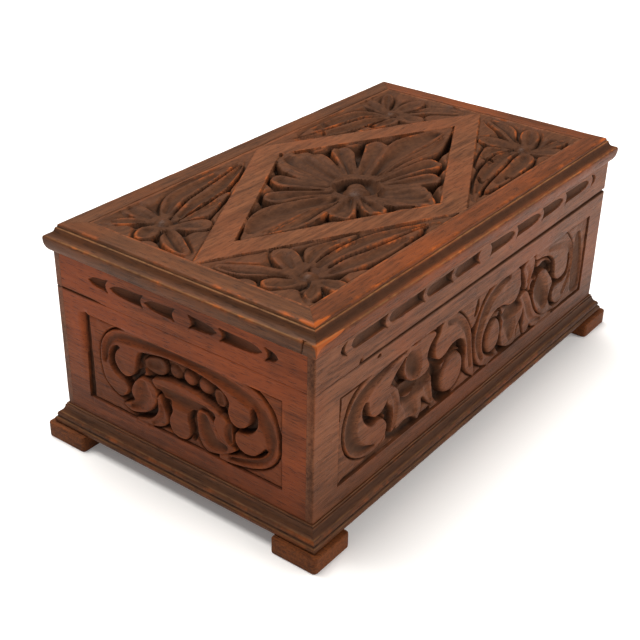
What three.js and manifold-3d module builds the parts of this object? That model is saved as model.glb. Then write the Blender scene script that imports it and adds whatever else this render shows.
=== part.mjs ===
// Carved walnut jewelry box with a hinged lid, four block feet and a padded lining.
// Millimetres, +Z up, origin on the table under the centre of the box. The long front
// faces -Y, the hinges are at the back (+Y). Carvings are drawn in the plane of their
// face: u to the right and v up as seen from outside, w outward, 0 on the face.
import * as THREE from 'three';
import { mergeVertices } from 'three/addons/utils/BufferGeometryUtils.js';
import Module from 'manifold-3d';

const wasm = await Module();
wasm.setup();

// ---- driving dimensions -------------------------------------------------------------
const HALF_L = 140;          // half length of the box body
const HALF_W = 80;           // half depth of the box body
const WALL = 13;             // board thickness
const LIP = 4;               // lip of the long boards seen on the short sides
const FIT = 0.04;            // glue gap between boards
const FOOT = 26.5;             // square foot
const FOOT_H = 8.8;
const FOOT_OUT = 8.4;        // feet stand proud of the body
const FLOOR_T = 7.5;
const BODY_TOP = 89.2;       // rim of the body
const LID_GAP = 0.3;         // gap under the closed lid
const LID_WARP = 1.0;        // extra gap at the front right corner
const LID_FRAME_TOP = 108.2; // top of the four lid boards
const PANEL_TOP = 122.0;     // carved lid panel
const LID_TOP = 122.4;       // rim round the panel
const PANEL_HL = 127.1;      // half length of the carved lid panel
const PANEL_HW = 67.1;
const TONGUE = 2.8;          // tongue of the panel under the rim
const TONGUE_TOP = 113.0;
const CARVE = 5.6;           // depth of the side carvings
const LID_CARVE = 7.2;       // depth of the lid carving
const BAND = 13.5;           // width of the flat diamond band
const PIN_Y = 81.9;          // hinge axis
const PIN_Z = 89.35;
const PIN_R = 0.75;
const BORE_R = 0.85;
const KNUCKLE_R = 1.75;
const LEAF_T = 0.9;
const LEAF_D = 9.5;
const HINGE_HALF = 15;       // half length of a hinge
const HINGE_X = 82;
const PAD = 2.4;             // lining thickness
const CLEAR = 0.35;          // air between lining and wood

// ---- finishes -----------------------------------------------------------------------
const finish = (color, roughness, metalness) =>
  new THREE.MeshStandardMaterial({ color, roughness, metalness });
const WALNUT = finish(0x5a3020, 0.48, 0);
const CARVED = finish(0x4a2a1d, 0.44, 0);
const MOULDING = finish(0x492a1c, 0.46, 0);
const FOOTWOOD = finish(0x7a4526, 0.66, 0);
const BRASS = finish(0xb08d4a, 0.38, 0.9);
const VELVET = finish(0x5c1620, 0.95, 0);

// ---- solids -------------------------------------------------------------------------
function solid(geometry) {
  const g = geometry.clone();
  g.deleteAttribute('normal');
  g.deleteAttribute('uv');
  const m = mergeVertices(g, 1e-4);
  const index = m.index.array;
  return new wasm.Manifold(new wasm.Mesh({
    numProp: 3,
    vertProperties: new Float32Array(m.attributes.position.array),
    triVerts: new Uint32Array(index),
  }));
}

function geometryOf(body) {
  const m = body.getMesh();
  const g = new THREE.BufferGeometry();
  const n = m.vertProperties.length / m.numProp;
  const position = new Float32Array(n * 3);
  for (let i = 0; i < n; i += 1) {
    for (let k = 0; k < 3; k += 1) {
      position[3 * i + k] = m.vertProperties[i * m.numProp + k];
    }
  }
  g.setAttribute('position', new THREE.BufferAttribute(position, 3));
  g.setIndex(new THREE.BufferAttribute(new Uint32Array(m.triVerts), 1));
  g.computeVertexNormals();
  return g;
}

function warp(geometry, fn) {
  const p = geometry.attributes.position;
  for (let i = 0; i < p.count; i += 1) {
    const q = fn(p.getX(i), p.getY(i), p.getZ(i));
    p.setXYZ(i, q[0], q[1], q[2]);
  }
  return geometry;
}

function boxGeometry(x0, x1, y0, y1, z0, z1, nx = 1, ny = 1) {
  const g = new THREE.BoxGeometry(x1 - x0, y1 - y0, z1 - z0, nx, ny, 1);
  return g.translate((x0 + x1) / 2, (y0 + y1) / 2, (z0 + z1) / 2);
}

const box = (...a) => solid(boxGeometry(...a));

function cylinder(radius, x0, x1, y, z, sides = 16) {
  const g = new THREE.CylinderGeometry(radius, radius, x1 - x0, sides);
  g.rotateZ(Math.PI / 2);
  return solid(g.translate((x0 + x1) / 2, y, z));
}

// a face frame (u, v, w) carried to its side of the box
const FACES = {
  front: new THREE.Matrix4().set(1, 0, 0, 0, 0, 0, -1, -HALF_W, 0, 1, 0, 0, 0, 0, 0, 1),
  back: new THREE.Matrix4().set(-1, 0, 0, 0, 0, 0, 1, HALF_W, 0, 1, 0, 0, 0, 0, 0, 1),
  left: new THREE.Matrix4().set(0, 0, -1, -HALF_L, -1, 0, 0, 0, 0, 1, 0, 0, 0, 0, 0, 1),
  right: new THREE.Matrix4().set(0, 0, 1, HALF_L, 1, 0, 0, 0, 0, 1, 0, 0, 0, 0, 0, 1),
};

const placed = (body, face) => solid(geometryOf(body).applyMatrix4(FACES[face]));

// ---- carving tools ------------------------------------------------------------------
// closed smooth outline through a few points
function outline(points, density = 1.5) {
  const nodes = points.map(([u, v]) => new THREE.Vector3(u, v, 0));
  const curve = new THREE.CatmullRomCurve3(nodes, true, 'centripetal');
  const pts = curve.getPoints(Math.round(points.length * density)).slice(0, -1);
  return new THREE.Shape(pts.map((p) => new THREE.Vector2(p.x, p.y)));
}

function polygon(points) {
  return new THREE.Shape(points.map(([u, v]) => new THREE.Vector2(u, v)));
}

// a piece standing up from depth `low`; its top follows topAt(u, v)
function raised(shape, low, topAt) {
  const g = new THREE.ExtrudeGeometry(shape, { depth: 1, bevelEnabled: false, curveSegments: 6 });
  warp(g, (u, v, w) => [u, v, w > 0.5 ? topAt(u, v) : low]);
  return solid(g);
}

// a flat-topped piece with a worn, chamfered edge
function worn(shape, low, top, edge) {
  const g = new THREE.ExtrudeGeometry(shape, {
    depth: top - low - edge,
    bevelEnabled: true,
    bevelThickness: edge,
    bevelSize: edge,
    bevelOffset: -edge,
    bevelSegments: 1,
    curveSegments: 6,
  });
  return solid(g.translate(0, 0, low));
}

function disc(u, v, ru, rv, sides = 16) {
  const pts = [];
  for (let i = 0; i < sides; i += 1) {
    const a = (2 * Math.PI * i) / sides;
    pts.push([u + ru * Math.cos(a), v + rv * Math.sin(a)]);
  }
  return polygon(pts);
}

const union = (bodies) => bodies.reduce((a, b) => a.add(b));

// ---- carved designs: every list is one leaf, bud or scroll --------------------------
const FRONT_RECESS = [-121.5, 124, 30, 79];
const FRONT_CARVING = [
  // left scroll with its hanging bud
  [[-96, 34.5], [-88, 35.5], [-83.4, 39], [-82, 43.5], [-84.6, 47.4], [-89, 49.4], [-94.5, 49.3],
    [-99.6, 53], [-102.4, 58], [-102.6, 62.4], [-100.6, 65], [-98, 63.6], [-97.6, 59.4],
    [-95, 55], [-91, 53], [-86.6, 53.6], [-83, 57], [-81.8, 62], [-77, 68.4], [-69, 73.6],
    [-62, 76.8], [-80, 78.2], [-95, 77.8], [-105, 75.2], [-112, 70], [-116.3, 62], [-116.4, 52],
    [-112.6, 43], [-105.6, 37.4]],
  [[-80.5, 63.5], [-75.6, 60.6], [-72.2, 55.6], [-70.8, 50], [-71.4, 44], [-74, 39.4],
    [-77.4, 39], [-77, 44], [-78.4, 49], [-81.4, 53.6], [-82, 59]],
  [[-68.2, 68.5], [-66.8, 63], [-62.4, 58.6], [-56, 56.4], [-50, 56.6], [-46, 59.6], [-48.6, 65],
    [-46.6, 70.4], [-41.4, 75.6], [-50, 77.4], [-60, 76.2], [-65.8, 73]],
  // right arm with its bud, running down as a long rib
  [[-41.4, 65], [-40, 60.6], [-36.4, 58], [-31, 59], [-25, 61], [-18, 60.6], [-13, 57.6],
    [-10.6, 51.6], [-10.4, 45], [-8.8, 38.4], [-4.6, 34], [0, 31.8], [-1, 36], [-3.6, 43],
    [-5.6, 51], [-8.2, 60], [-12.8, 68], [-19, 74.2], [-27, 77.8], [-34.4, 77.4], [-37.4, 73.4],
    [-40.4, 70]],
  [[-70, 54.6], [-63, 56.6], [-57, 54.4], [-53.6, 49.4], [-51.4, 43.6], [-50.6, 38.6],
    [-52.4, 34], [-54.4, 32.6], [-57.4, 35], [-62, 37.2], [-71.2, 36.6], [-70.4, 44]],
  [[-56, 54.4], [-49.4, 55.4], [-43.8, 53.2], [-42.6, 47], [-41, 40.6], [-40.2, 33.6],
    [-43.4, 36], [-46.2, 40.4], [-50, 45], [-53.4, 49.6]],
  // corner pieces left at the surface
  [[-120.6, 78.2], [-109.4, 78.2], [-111, 74], [-115.4, 69.8], [-118.2, 65.4], [-120.6, 66]],
  [[-120.6, 46], [-117.4, 44.4], [-113.2, 38.6], [-106.4, 33.6], [-108, 31], [-120.6, 31]],
  // right group: long arm and bud
  [[14, 31.4], [6, 34.4], [1.4, 41], [-0.8, 50], [0.2, 60], [4, 68], [10, 73.6], [18, 77.2],
    [30, 78], [40.6, 76.6], [43.2, 71.4], [44.8, 66.4], [43.2, 61.8], [39, 58.6], [33.6, 58.4],
    [28, 60.8], [21, 61.6], [14.6, 60], [9.8, 55.4], [7.6, 49], [8.2, 43], [11.2, 38],
    [16.4, 34.2]],
  [[27.6, 54], [36, 56.4], [44, 55.8], [49, 50.4], [50, 45.4], [45.6, 41.4], [43.4, 37],
    [45, 33], [40, 31.8], [34, 33.6], [28.4, 37.6], [27.4, 46]],
  [[44.6, 58], [50, 59.6], [54.4, 57.4], [58.8, 50.6], [62.8, 43.4], [68.4, 37.4], [77, 33.8],
    [87, 31.8], [76, 30.8], [67, 32], [60.6, 35.4], [57.4, 32], [54.2, 32.4], [51.2, 36.4],
    [51.6, 42], [51, 47], [47.6, 52.6]],
  [[45.4, 75], [50, 77.4], [57.6, 77], [58.6, 71.4], [55, 64.4], [50.4, 60.6], [49.4, 66],
    [47.6, 70.6]],
  [[61, 54], [63.4, 59.4], [68.6, 62.6], [74, 61], [78.6, 56.4], [83.2, 51], [81.2, 46],
    [80.8, 41.6], [83.6, 36.8], [80, 35.4], [72.4, 38.4], [66.2, 43.4], [62.2, 49]],
  [[63, 77], [61.4, 74.2], [70, 72.6], [78, 70], [83.6, 65], [85, 59], [86, 54.6], [90, 51.2],
    [95.6, 50.6], [99.8, 53], [101.2, 58], [100.4, 63], [102.6, 63.4], [104, 60], [104.6, 55],
    [102.2, 49.6], [97.4, 46.8], [91, 47.4], [86.8, 46.6], [85.8, 42.4], [88, 38], [93, 35.2],
    [99, 36.2], [104, 41], [107.2, 49], [107.6, 58], [105, 67], [99, 73.6], [91, 77], [78, 78]],
  [[110, 78.2], [122.8, 78.2], [123, 68], [117, 69.6], [112.6, 72.8]],
];
const FRONT_EGGS = [[-23, 44.3, 10.9, 10.9], [19.6, 46, 7.8, 9.9]];

const END_RECESS = [-62.5, 62.5, 31, 80];
const END_CARVING = [
  // broad arch with a curled bud at each end
  [[0, 79], [25, 79], [42, 78], [50, 74.6], [55.6, 67], [58, 58], [57, 52.6], [54, 50.2],
    [50, 46], [45.6, 42.6], [40.4, 41.4], [36.2, 43.2], [34.6, 47], [35.4, 51.2], [40, 52],
    [45, 54.6], [48.2, 60], [47.8, 66], [45.2, 68.8], [43.6, 66.4], [43.8, 62], [41.4, 57],
    [37, 54.4], [32.6, 55.6], [30.6, 60], [31.2, 65.6], [27.6, 70], [20, 72.4], [10, 73.8],
    [0, 74.2], [-10, 73.6], [-20, 71.8], [-26, 69.4], [-28, 65.4], [-27.6, 60], [-30, 55.6],
    [-35, 53.6], [-39.6, 55.6], [-42, 60], [-41, 65], [-38.6, 68.6], [-41.4, 69], [-45, 65.4],
    [-46.8, 60], [-45.6, 54.6], [-41.6, 51.2], [-36.2, 50.2], [-34.6, 46.4], [-37, 42.4],
    [-41, 41], [-46, 43.4], [-50, 47], [-52.2, 53], [-52.2, 60], [-50, 67], [-45, 73.4],
    [-37, 77.6], [-20, 79]],
  [[60, 52], [57.6, 43], [51, 36.6], [42, 33], [31, 31.8], [25, 33], [32, 36], [40, 38.4],
    [47, 41.2], [53, 45.4], [57, 49.8]],
  [[11.4, 48], [14, 52], [20, 49.6], [22.4, 45.6], [27, 42.6], [31.4, 39.6], [28, 36],
    [22, 34], [17, 33.6], [13, 37], [10.8, 42]],
  [[21.2, 50.4], [23.4, 54.6], [27.4, 55.8], [29.4, 53.6], [27.8, 50], [28.4, 45.6],
    [32, 42.4], [30.6, 41.2], [26, 43.6], [23, 46.6]],
  [[-16, 58.6], [-8, 61.8], [3, 62.4], [14, 61], [24, 57.4], [20.8, 52.8], [15, 53], [10, 52.8],
    [5.6, 51.4], [0, 52], [-5.4, 51.4], [-10, 52.4], [-14, 52.4]],
  [[-5.4, 51], [5.4, 51], [5.2, 46], [6.2, 41], [6, 36.6], [2.6, 33.4], [-4, 33.4], [-7, 36.6],
    [-7, 41.4], [-5, 46]],
  [[-30.4, 41], [-31.4, 46], [-29, 52], [-24, 56], [-18.6, 56], [-16, 52], [-16.6, 46],
    [-19.6, 41], [-24.4, 38.2]],
  [[-12.6, 50], [-11, 45], [-8.6, 41], [-8.8, 37.4], [-12.6, 34], [-18, 32.4], [-24, 32.2],
    [-17.4, 36], [-15, 40.4], [-15.4, 45.4], [-14.6, 49.6]],
  [[-50, 41], [-44, 38.6], [-35, 37.4], [-26, 36], [-20, 34.2], [-27, 32.4], [-40, 32.4],
    [-49, 34.6]],
  [[-22, 62], [-23, 67], [-18, 70.4], [-11, 71.4], [-8.8, 67], [-11, 62.6], [-16, 61]],
  [[22.4, 64], [23, 68.8], [27, 69], [29, 64.6], [28, 60.8], [24, 60.6]],
];
const END_EGGS = [[-3.6, 67.8, 4.4, 4.4], [5.8, 68.2, 4.3, 4.3], [15.8, 67.6, 4.6, 4.6]];

// gouge cuts along the lid sides: [tip, deep end, bottom, top]
const FRONT_CUTS = [[-29, -4], [-54, -29.5], [-85, -54.5], [-114, -85.5], [-122, -116.5],
  [31, 4.5], [59, 31.5], [84.5, 59.5], [116, 86], [124, 118]];
const END_CUTS = [[-19, 1], [-42, -19.5], [-56, -42.5], [27, 8], [53, 27.5], [61, 53.5]];
const CUT_DEPTH = 2.4;

// lid flower: four long leaves and eight rounded fingers round a sunk centre
const FLOWER = [-4, -3];
const LEAVES = [
  [[-91, -1], [-84, 6], [-75, 11.6], [-66, 13.8], [-56, 12.6], [-44, 7], [-20, 2], [-4, 0],
    [-4, -6], [-20, -8], [-46, -12], [-62, -13.4], [-76, -10.4], [-86, -5]],
  [[92, 0], [84, -5.6], [74, -10], [62, -12.6], [44, -9], [14, -7], [0, -6], [0, 0],
    [14, 4], [40, 10], [56, 13.4], [68, 12.4], [80, 7.4]],
  [[1, 49.6], [8, 45], [13.6, 38], [15, 30], [10, 20], [3, 4], [-4, 0], [-9, 6], [-13, 18],
    [-15, 29], [-12, 39], [-6, 46]],
  [[-2, -49.6], [4, -44], [10, -36], [13.6, -27], [9, -17], [2, -6], [-6, -4], [-11, -10],
    [-15, -24], [-12, -35], [-7, -44]],
];
const FINGERS = [[-50, 20.5], [-29, 33.5], [30, 32], [50, 20.5], [47, -21], [29, -33],
  [-44, -21.5], [-27, -32.5]];

// corner flowers: p runs along the long edge and q along the short edge from the corner
const CORNER_AT = [28, 22];
const CORNER_LEAVES = [
  [[26, 19], [19, 15], [11, 12], [6, 6.4], [7, 4.4], [13, 5], [20, 9], [28, 17]],
  [[26, 17], [22, 10], [21.6, 4.4], [25.4, 2.6], [30, 4.6], [31.4, 10], [30, 18]],
  [[24, 20], [17, 20], [11, 22.4], [7, 27], [10, 31], [16, 30.4], [22, 26], [26, 24]],
  [[24, 25], [18, 32], [10, 37], [4.6, 46], [3.6, 57], [8, 58], [13.6, 51], [19, 42], [26, 30]],
  [[26, 26], [25.4, 33], [28, 41], [33, 44], [38, 41], [37.6, 35], [32, 28]],
  [[31, 18], [38, 10], [50, 5], [66, 3.6], [84, 4], [98, 6.4], [80, 10.6], [62, 13.4],
    [46, 17], [34, 21]],
  [[33, 22], [46, 19.4], [62, 15.6], [80, 12.4], [100, 8], [111, 4.4], [98, 12.6], [84, 19.6],
    [70, 24], [50, 26.4], [36, 26]],
  [[33, 27], [50, 28.8], [66, 26.6], [72, 27.4], [60, 32.6], [50, 35.6], [44, 37], [38, 33]],
];

// ---- carved faces -------------------------------------------------------------------
function recessOf([u0, u1, v0, v1], depth) {
  return box(u0, u1, v0, v1, -depth, 1);
}

function carved(board, recess, lists, eggs) {
  const pieces = lists.map((l) => worn(outline(l), -CARVE - 1.4, -0.25, 0.7));
  eggs.forEach(([u, v, ru, rv]) => {
    pieces.push(worn(disc(u, v, ru, rv), -CARVE - 1.4, -0.2, 0.8));
  });
  const [u0, u1, v0, v1] = recess;
  const field = box(u0 - 0.3, u1 + 0.3, v0 - 0.3, v1 + 0.3, -CARVE - 0.5, 0.5);
  return board.subtract(recessOf(recess, CARVE)).add(union(pieces).intersect(field));
}

// a scale-like gouge, shallow at its rounded tip and stabbed deep at the other end
function gouge([tip, deep], v0, v1) {
  const s = Math.sign(deep - tip);
  const mid = (v0 + v1) / 2;
  const h = (v1 - v0) / 2;
  const span = Math.abs(deep - tip);
  const nose = Math.min(h * 1.3, span * 0.6);
  const pts = [[tip, mid], [tip + s * nose * 0.3, mid + h * 0.62], [tip + s * nose, mid + h],
    [deep, v1], [deep - s * 1.7, mid + h * 0.45], [deep - s * 1.7, mid - h * 0.45], [deep, v0],
    [tip + s * nose, mid - h], [tip + s * nose * 0.3, mid - h * 0.62]];
  const ordered = s > 0 ? pts.reverse() : pts;
  const g = new THREE.ExtrudeGeometry(polygon(ordered), { depth: 1, bevelEnabled: false });
  warp(g, (u, v, w) => {
    const t = Math.min(1, Math.abs(u - tip) / span);
    return [u, v, w > 0.5 ? 1 : -0.35 - (CUT_DEPTH - 0.35) * t];
  });
  return solid(g);
}

// ---- boards -------------------------------------------------------------------------
function longBoard(v0, v1) {
  const lip = box(-HALF_L, HALF_L, v0, v1, -LIP, 0);
  const core = box(-HALF_L + WALL + FIT, HALF_L - WALL - FIT, v0, v1, -WALL, -LIP + 0.5);
  return lip.add(core);
}

function shortBoard(v0, v1) {
  const half = HALF_W - LIP - FIT;
  return box(-half, half, v0, v1, -WALL, 0);
}

// a small chamfer along a horizontal arris
function arris(half, v, size) {
  const g = boxGeometry(-half - 1, half + 1, -size, size, -size, size);
  g.rotateX(Math.PI / 4);
  return solid(g.translate(0, v, 0));
}

function bodyLong() {
  return longBoard(FOOT_H, BODY_TOP).subtract(arris(HALF_L, BODY_TOP, 0.45));
}

function bodyShort() {
  return shortBoard(FOOT_H, BODY_TOP).subtract(arris(HALF_L, BODY_TOP, 0.45));
}

// the slightly warped underside of the lid
function underLid() {
  const z0 = BODY_TOP - 8;
  const g = boxGeometry(-HALF_L - 5, HALF_L + 5, -HALF_W - 5, HALF_W + 5, z0, BODY_TOP, 6, 4);
  return solid(warp(g, (x, y, z) => {
    const s = Math.max(0, (x + HALF_L) / (2 * HALF_L));
    const t = Math.max(0, (HALF_W - y) / (2 * HALF_W));
    return [x, y, z > z0 + 1 ? BODY_TOP + LID_GAP + LID_WARP * s * t : z0];
  }));
}

function lidLong() {
  let b = longBoard(BODY_TOP, LID_FRAME_TOP).subtract(arris(HALF_L, BODY_TOP + LID_GAP, 0.45));
  FRONT_CUTS.forEach((c) => {
    b = b.subtract(gouge(c, 99.6, 105.8));
  });
  return b.subtract(cutDisc(0, 102.7));
}

function lidShort() {
  let b = shortBoard(BODY_TOP, LID_FRAME_TOP);
  b = b.subtract(arris(HALF_L, BODY_TOP + LID_GAP, 0.45));
  END_CUTS.forEach((c) => {
    b = b.subtract(gouge(c, 97.4, 103.6));
  });
  return b.subtract(cutDisc(4.4, 100.5));
}

// round eye between the two runs of gouge cuts
function cutDisc(u, v) {
  const g = new THREE.CylinderGeometry(2.7, 1.6, 2.6, 16);
  g.rotateX(Math.PI / 2);
  return solid(g.translate(u, v, 0));
}

// ---- mitred strips ------------------------------------------------------------------
// profile in (offset outward from the body face, z), run along a side and mitred
function strip(profile, half) {
  const g = new THREE.ExtrudeGeometry(polygon(profile), { depth: 1, bevelEnabled: false });
  warp(g, (o, z, t) => {
    const reach = half + o - FIT;
    return [t > 0.5 ? reach : -reach, z, o];
  });
  return solid(flipped(g));
}

function flipped(geometry) {
  const g = mergeVertices(geometry, 1e-5);
  const a = g.index.array;
  for (let i = 0; i < a.length; i += 3) {
    [a[i], a[i + 1]] = [a[i + 1], a[i]];
  }
  return g;
}

const BASE_PROFILE = [[FIT, FOOT_H], [5.2, FOOT_H], [5.7, 9.5], [5.8, 10.4], [5.4, 11.4],
  [4.7, 11.9], [4.5, 12.3], [4.6, 13.1], [4.3, 14.2], [3.6, 15], [2.6, 15.7], [1.8, 16.8],
  [1.3, 18.2], [1.2, 18.8], [0.8, 18.9], [0.8, 19.8], [FIT, 20]];
const RIM_IN = PANEL_HL - HALF_L + FIT * 2;
const RIM_PROFILE = [[RIM_IN + TONGUE, LID_FRAME_TOP], [0.6, LID_FRAME_TOP], [1.9, 109.4],
  [2.8, 111.4], [3.2, 113.6], [3.1, 115.6], [2.4, 116.5], [0.9, 117], [-0.4, 117.9],
  [-1.1, 119.2], [-1.4, 120.4], [-2.1, 120.5], [-2.2, 121.6], [-2.9, 122.3], [-3.6, LID_TOP],
  [RIM_IN + 0.6, LID_TOP], [RIM_IN, LID_TOP - 0.5], [RIM_IN, TONGUE_TOP + FIT],
  [RIM_IN + TONGUE, TONGUE_TOP + FIT]];

// ---- lid panel ----------------------------------------------------------------------
function diamond(tipX, tipY) {
  return polygon([[-tipX, 0], [0, -tipY], [tipX, 0], [0, tipY]]);
}

// depth of the flower's dished surface
function dish(x, y) {
  const r = Math.hypot(x - FLOWER[0], y - FLOWER[1]);
  const t = Math.min(1, r / 42);
  return -0.6 - (LID_CARVE - 1.6) * (1 - t) ** 1.2;
}

function finger([x, y]) {
  const [cx, cy] = FLOWER;
  const d = Math.hypot(x - cx, y - cy);
  const [ax, ay] = [(x - cx) / d, (y - cy) / d];
  const at = (s, w) => [cx + ax * s - ay * w, cy + ay * s + ax * w];
  return outline([at(d, 0), at(d - 2, 3.6), at(d - 6, 5.2), at(d - 14, 4.4), at(8, 2),
    at(8, -2), at(d - 14, -4.4), at(d - 6, -5.2), at(d - 2, -3.6)]);
}

// rounded bud built by turning a small arc
function bud(x, y, z, r) {
  const pts = [[0, -r * 0.7], [r, -r * 0.7], [r, -r * 0.1], [r * 0.82, r * 0.42], [r * 0.45, r * 0.74],
    [0, r * 0.84]];
  const g = new THREE.LatheGeometry(pts.map(([a, b]) => new THREE.Vector2(a, b)), 14);
  g.rotateX(Math.PI / 2);
  return solid(g.translate(x, y, z));
}

function cornerPieces(sx, sy) {
  const map = ([p, q]) => [sx * (PANEL_HL - p), sy * (PANEL_HW - q)];
  const [cx, cy] = map(CORNER_AT);
  const top = (x, y) => {
    const t = Math.min(1, Math.hypot(x - cx, y - cy) / 24);
    return -0.6 - 2.4 * (1 - t);
  };
  const low = -LID_CARVE + 1.4;
  const pieces = CORNER_LEAVES.map((list) => {
    const pts = list.map(map);
    return raised(outline(sx * sy > 0 ? pts : pts.reverse()), low, top);
  });
  pieces.push(bud(cx, cy, -3.4, 4.6));
  return union(pieces);
}

function lidPanel() {
  const top = PANEL_TOP;
  const tongue = box(-PANEL_HL - TONGUE + FIT, PANEL_HL + TONGUE - FIT, -PANEL_HW - TONGUE + FIT,
    PANEL_HW + TONGUE - FIT, LID_FRAME_TOP + FIT, TONGUE_TOP);
  const field = box(-PANEL_HL, PANEL_HL, -PANEL_HW, PANEL_HW, TONGUE_TOP - 1, top);
  let board = tongue.add(field).translate(0, 0, -top);

  const nx = PANEL_HL;
  const ny = PANEL_HW;
  const k = BAND * Math.hypot(1 / nx, 1 / ny);
  const inner = raised(diamond(nx * (1 - k), ny * (1 - k)), -LID_CARVE, () => 1);
  const [mx, my] = [nx - 1.2, ny - 1.2];
  const field2 = box(-mx, mx, -my, my, -LID_CARVE + 2, 1);
  const outer = field2.subtract(raised(diamond(nx, ny), -LID_CARVE - 1, () => 2));
  board = board.subtract(inner).subtract(outer);

  const pieces = LEAVES.map((l) => raised(outline(l), -LID_CARVE - 0.5, dish));
  FINGERS.forEach((f) => pieces.push(raised(finger(f), -LID_CARVE - 0.5, dish)));
  const flower = union(pieces).intersect(raised(diamond(nx * (1 - k), ny * (1 - k)), -9, () => 0));
  board = board.add(flower).add(bud(FLOWER[0], FLOWER[1], -7.2, 7.2));

  [[1, 1], [1, -1], [-1, 1], [-1, -1]].forEach(([sx, sy]) => {
    const clip = box(Math.min(0, sx * mx), Math.max(0, sx * mx), Math.min(0, sy * my),
      Math.max(0, sy * my), -LID_CARVE, 0);
    board = board.add(cornerPieces(sx, sy).intersect(clip));
  });
  return board.translate(0, 0, top);
}

// ---- feet ---------------------------------------------------------------------------
function foot(sx, sy) {
  const h = FOOT / 2;
  const r = 2.2;
  const shape = new THREE.Shape();
  shape.moveTo(-h + r, -h);
  shape.lineTo(h - r, -h);
  shape.absarc(h - r, -h + r, r, -Math.PI / 2, 0, false);
  shape.lineTo(h, h - r);
  shape.absarc(h - r, h - r, r, 0, Math.PI / 2, false);
  shape.lineTo(-h + r, h);
  shape.absarc(-h + r, h - r, r, Math.PI / 2, Math.PI, false);
  shape.lineTo(-h, -h + r);
  shape.absarc(-h + r, -h + r, r, Math.PI, Math.PI * 1.5, false);
  const g = new THREE.ExtrudeGeometry(shape, {
    depth: FOOT_H - FIT - 1.2,
    bevelEnabled: true,
    bevelThickness: 0.6,
    bevelSize: 0.6,
    bevelOffset: -0.6,
    bevelSegments: 1,
    curveSegments: 4,
  });
  g.translate(sx * (HALF_L + FOOT_OUT - h), sy * (HALF_W + FOOT_OUT - h), 0.6);
  return solid(g);
}

// ---- hinges -------------------------------------------------------------------------
// knuckle spans of one hinge, from its left end: body, lid, body
const KNUCKLES = [[-HINGE_HALF, -5.1], [-4.9, 4.9], [5.1, HINGE_HALF]];
const SCREWS = [-10, 10];
const SCREW_Y = 74.6;

function leafPlate(cx, z0, spans) {
  let leaf = box(cx - HINGE_HALF, cx + HINGE_HALF, HALF_W - LEAF_D, HALF_W, z0, z0 + LEAF_T);
  spans.forEach(([a, b]) => {
    const arm = box(cx + a, cx + b, HALF_W - 0.5, PIN_Y, z0, z0 + LEAF_T);
    leaf = leaf.add(arm).add(cylinder(KNUCKLE_R, cx + a, cx + b, PIN_Y, PIN_Z));
  });
  return leaf.subtract(cylinder(BORE_R, cx - 20, cx + 20, PIN_Y, PIN_Z));
}

const BODY_LEAF_Z = BODY_TOP - LEAF_T - 0.05;
const LID_LEAF_Z = BODY_TOP + LID_GAP + 0.05;

function screwProfile(radius, slack) {
  const s = slack;
  return [[0, -6.4 - s], [radius * 0.5 + s, -6.2 - s], [radius + s, -5.2], [radius + s, -1 - s],
    [2 * radius + s, -0.05], [2 * radius + s, s], [0, s]];
}

function screw(x, z, up, slack) {
  const pts = screwProfile(1, slack).map(([r, h]) => new THREE.Vector2(r, h));
  const g = new THREE.LatheGeometry(pts, 16);
  g.rotateX(up ? -Math.PI / 2 : Math.PI / 2);
  return solid(g.translate(x, SCREW_Y, z));
}

// ---- lining -------------------------------------------------------------------------
function cushion(x0, x1, y0, y1, z0, z1) {
  const w = (x1 - x0) / 2;
  const d = (y1 - y0) / 2;
  const h = z1 - z0;
  const e = Math.min(0.9, h * 0.4, w * 0.4, d * 0.4);
  const shape = polygon([[-w, -d], [w, -d], [w, d], [-w, d]]);
  const g = new THREE.ExtrudeGeometry(shape, {
    depth: h - 2 * e,
    bevelEnabled: true,
    bevelThickness: e,
    bevelSize: e,
    bevelOffset: -e,
    bevelSegments: 2,
  });
  return solid(g.translate((x0 + x1) / 2, (y0 + y1) / 2, z0 + e));
}

// ---- assembly -----------------------------------------------------------------------
const model = new THREE.Group();
model.name = 'carved_jewelry_box';

function add(name, body, material) {
  const mesh = new THREE.Mesh(geometryOf(body), material);
  mesh.name = name;
  model.add(mesh);
}

const hinges = [['left', -HINGE_X], ['right', HINGE_X]];
const spansOfBody = [KNUCKLES[0], KNUCKLES[2]];
const spansOfLid = [KNUCKLES[1]];

// pockets for the leaves and screws in the two back boards
function hingePockets(z0, lid) {
  return union(hinges.flatMap(([, cx]) => {
    const leaf = box(cx - HINGE_HALF - 0.1, cx + HINGE_HALF + 0.1, HALF_W - LEAF_D - 0.1,
      HALF_W + 1, lid ? z0 - 2 : z0 - 0.03, lid ? z0 + LEAF_T + 0.03 : z0 + 3);
    const z = lid ? z0 : z0 + LEAF_T;
    return [leaf, ...SCREWS.map((dx) => screw(cx + dx, z, lid, 0.06))];
  }));
}

function addBody() {
  const long = carved(bodyLong(), FRONT_RECESS, FRONT_CARVING, FRONT_EGGS);
  const short = carved(bodyShort(), END_RECESS, END_CARVING, END_EGGS);
  add('body_front', placed(long, 'front'), WALNUT);
  add('body_back', placed(long, 'back').subtract(hingePockets(BODY_LEAF_Z, false)), WALNUT);
  add('body_left', placed(short, 'left'), WALNUT);
  add('body_right', placed(short, 'right'), WALNUT);
  const lx = HALF_L - WALL - FIT;
  const ly = HALF_W - WALL - FIT;
  add('floor_board', box(-lx, lx, -ly, ly, FOOT_H + 0.4, FOOT_H + 0.4 + FLOOR_T), WALNUT);
  const corners = [['front_left', -1, -1], ['front_right', 1, -1], ['back_left', -1, 1],
    ['back_right', 1, 1]];
  corners.forEach(([n, sx, sy]) => add(`foot_${n}`, foot(sx, sy), FOOTWOOD));
}

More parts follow.
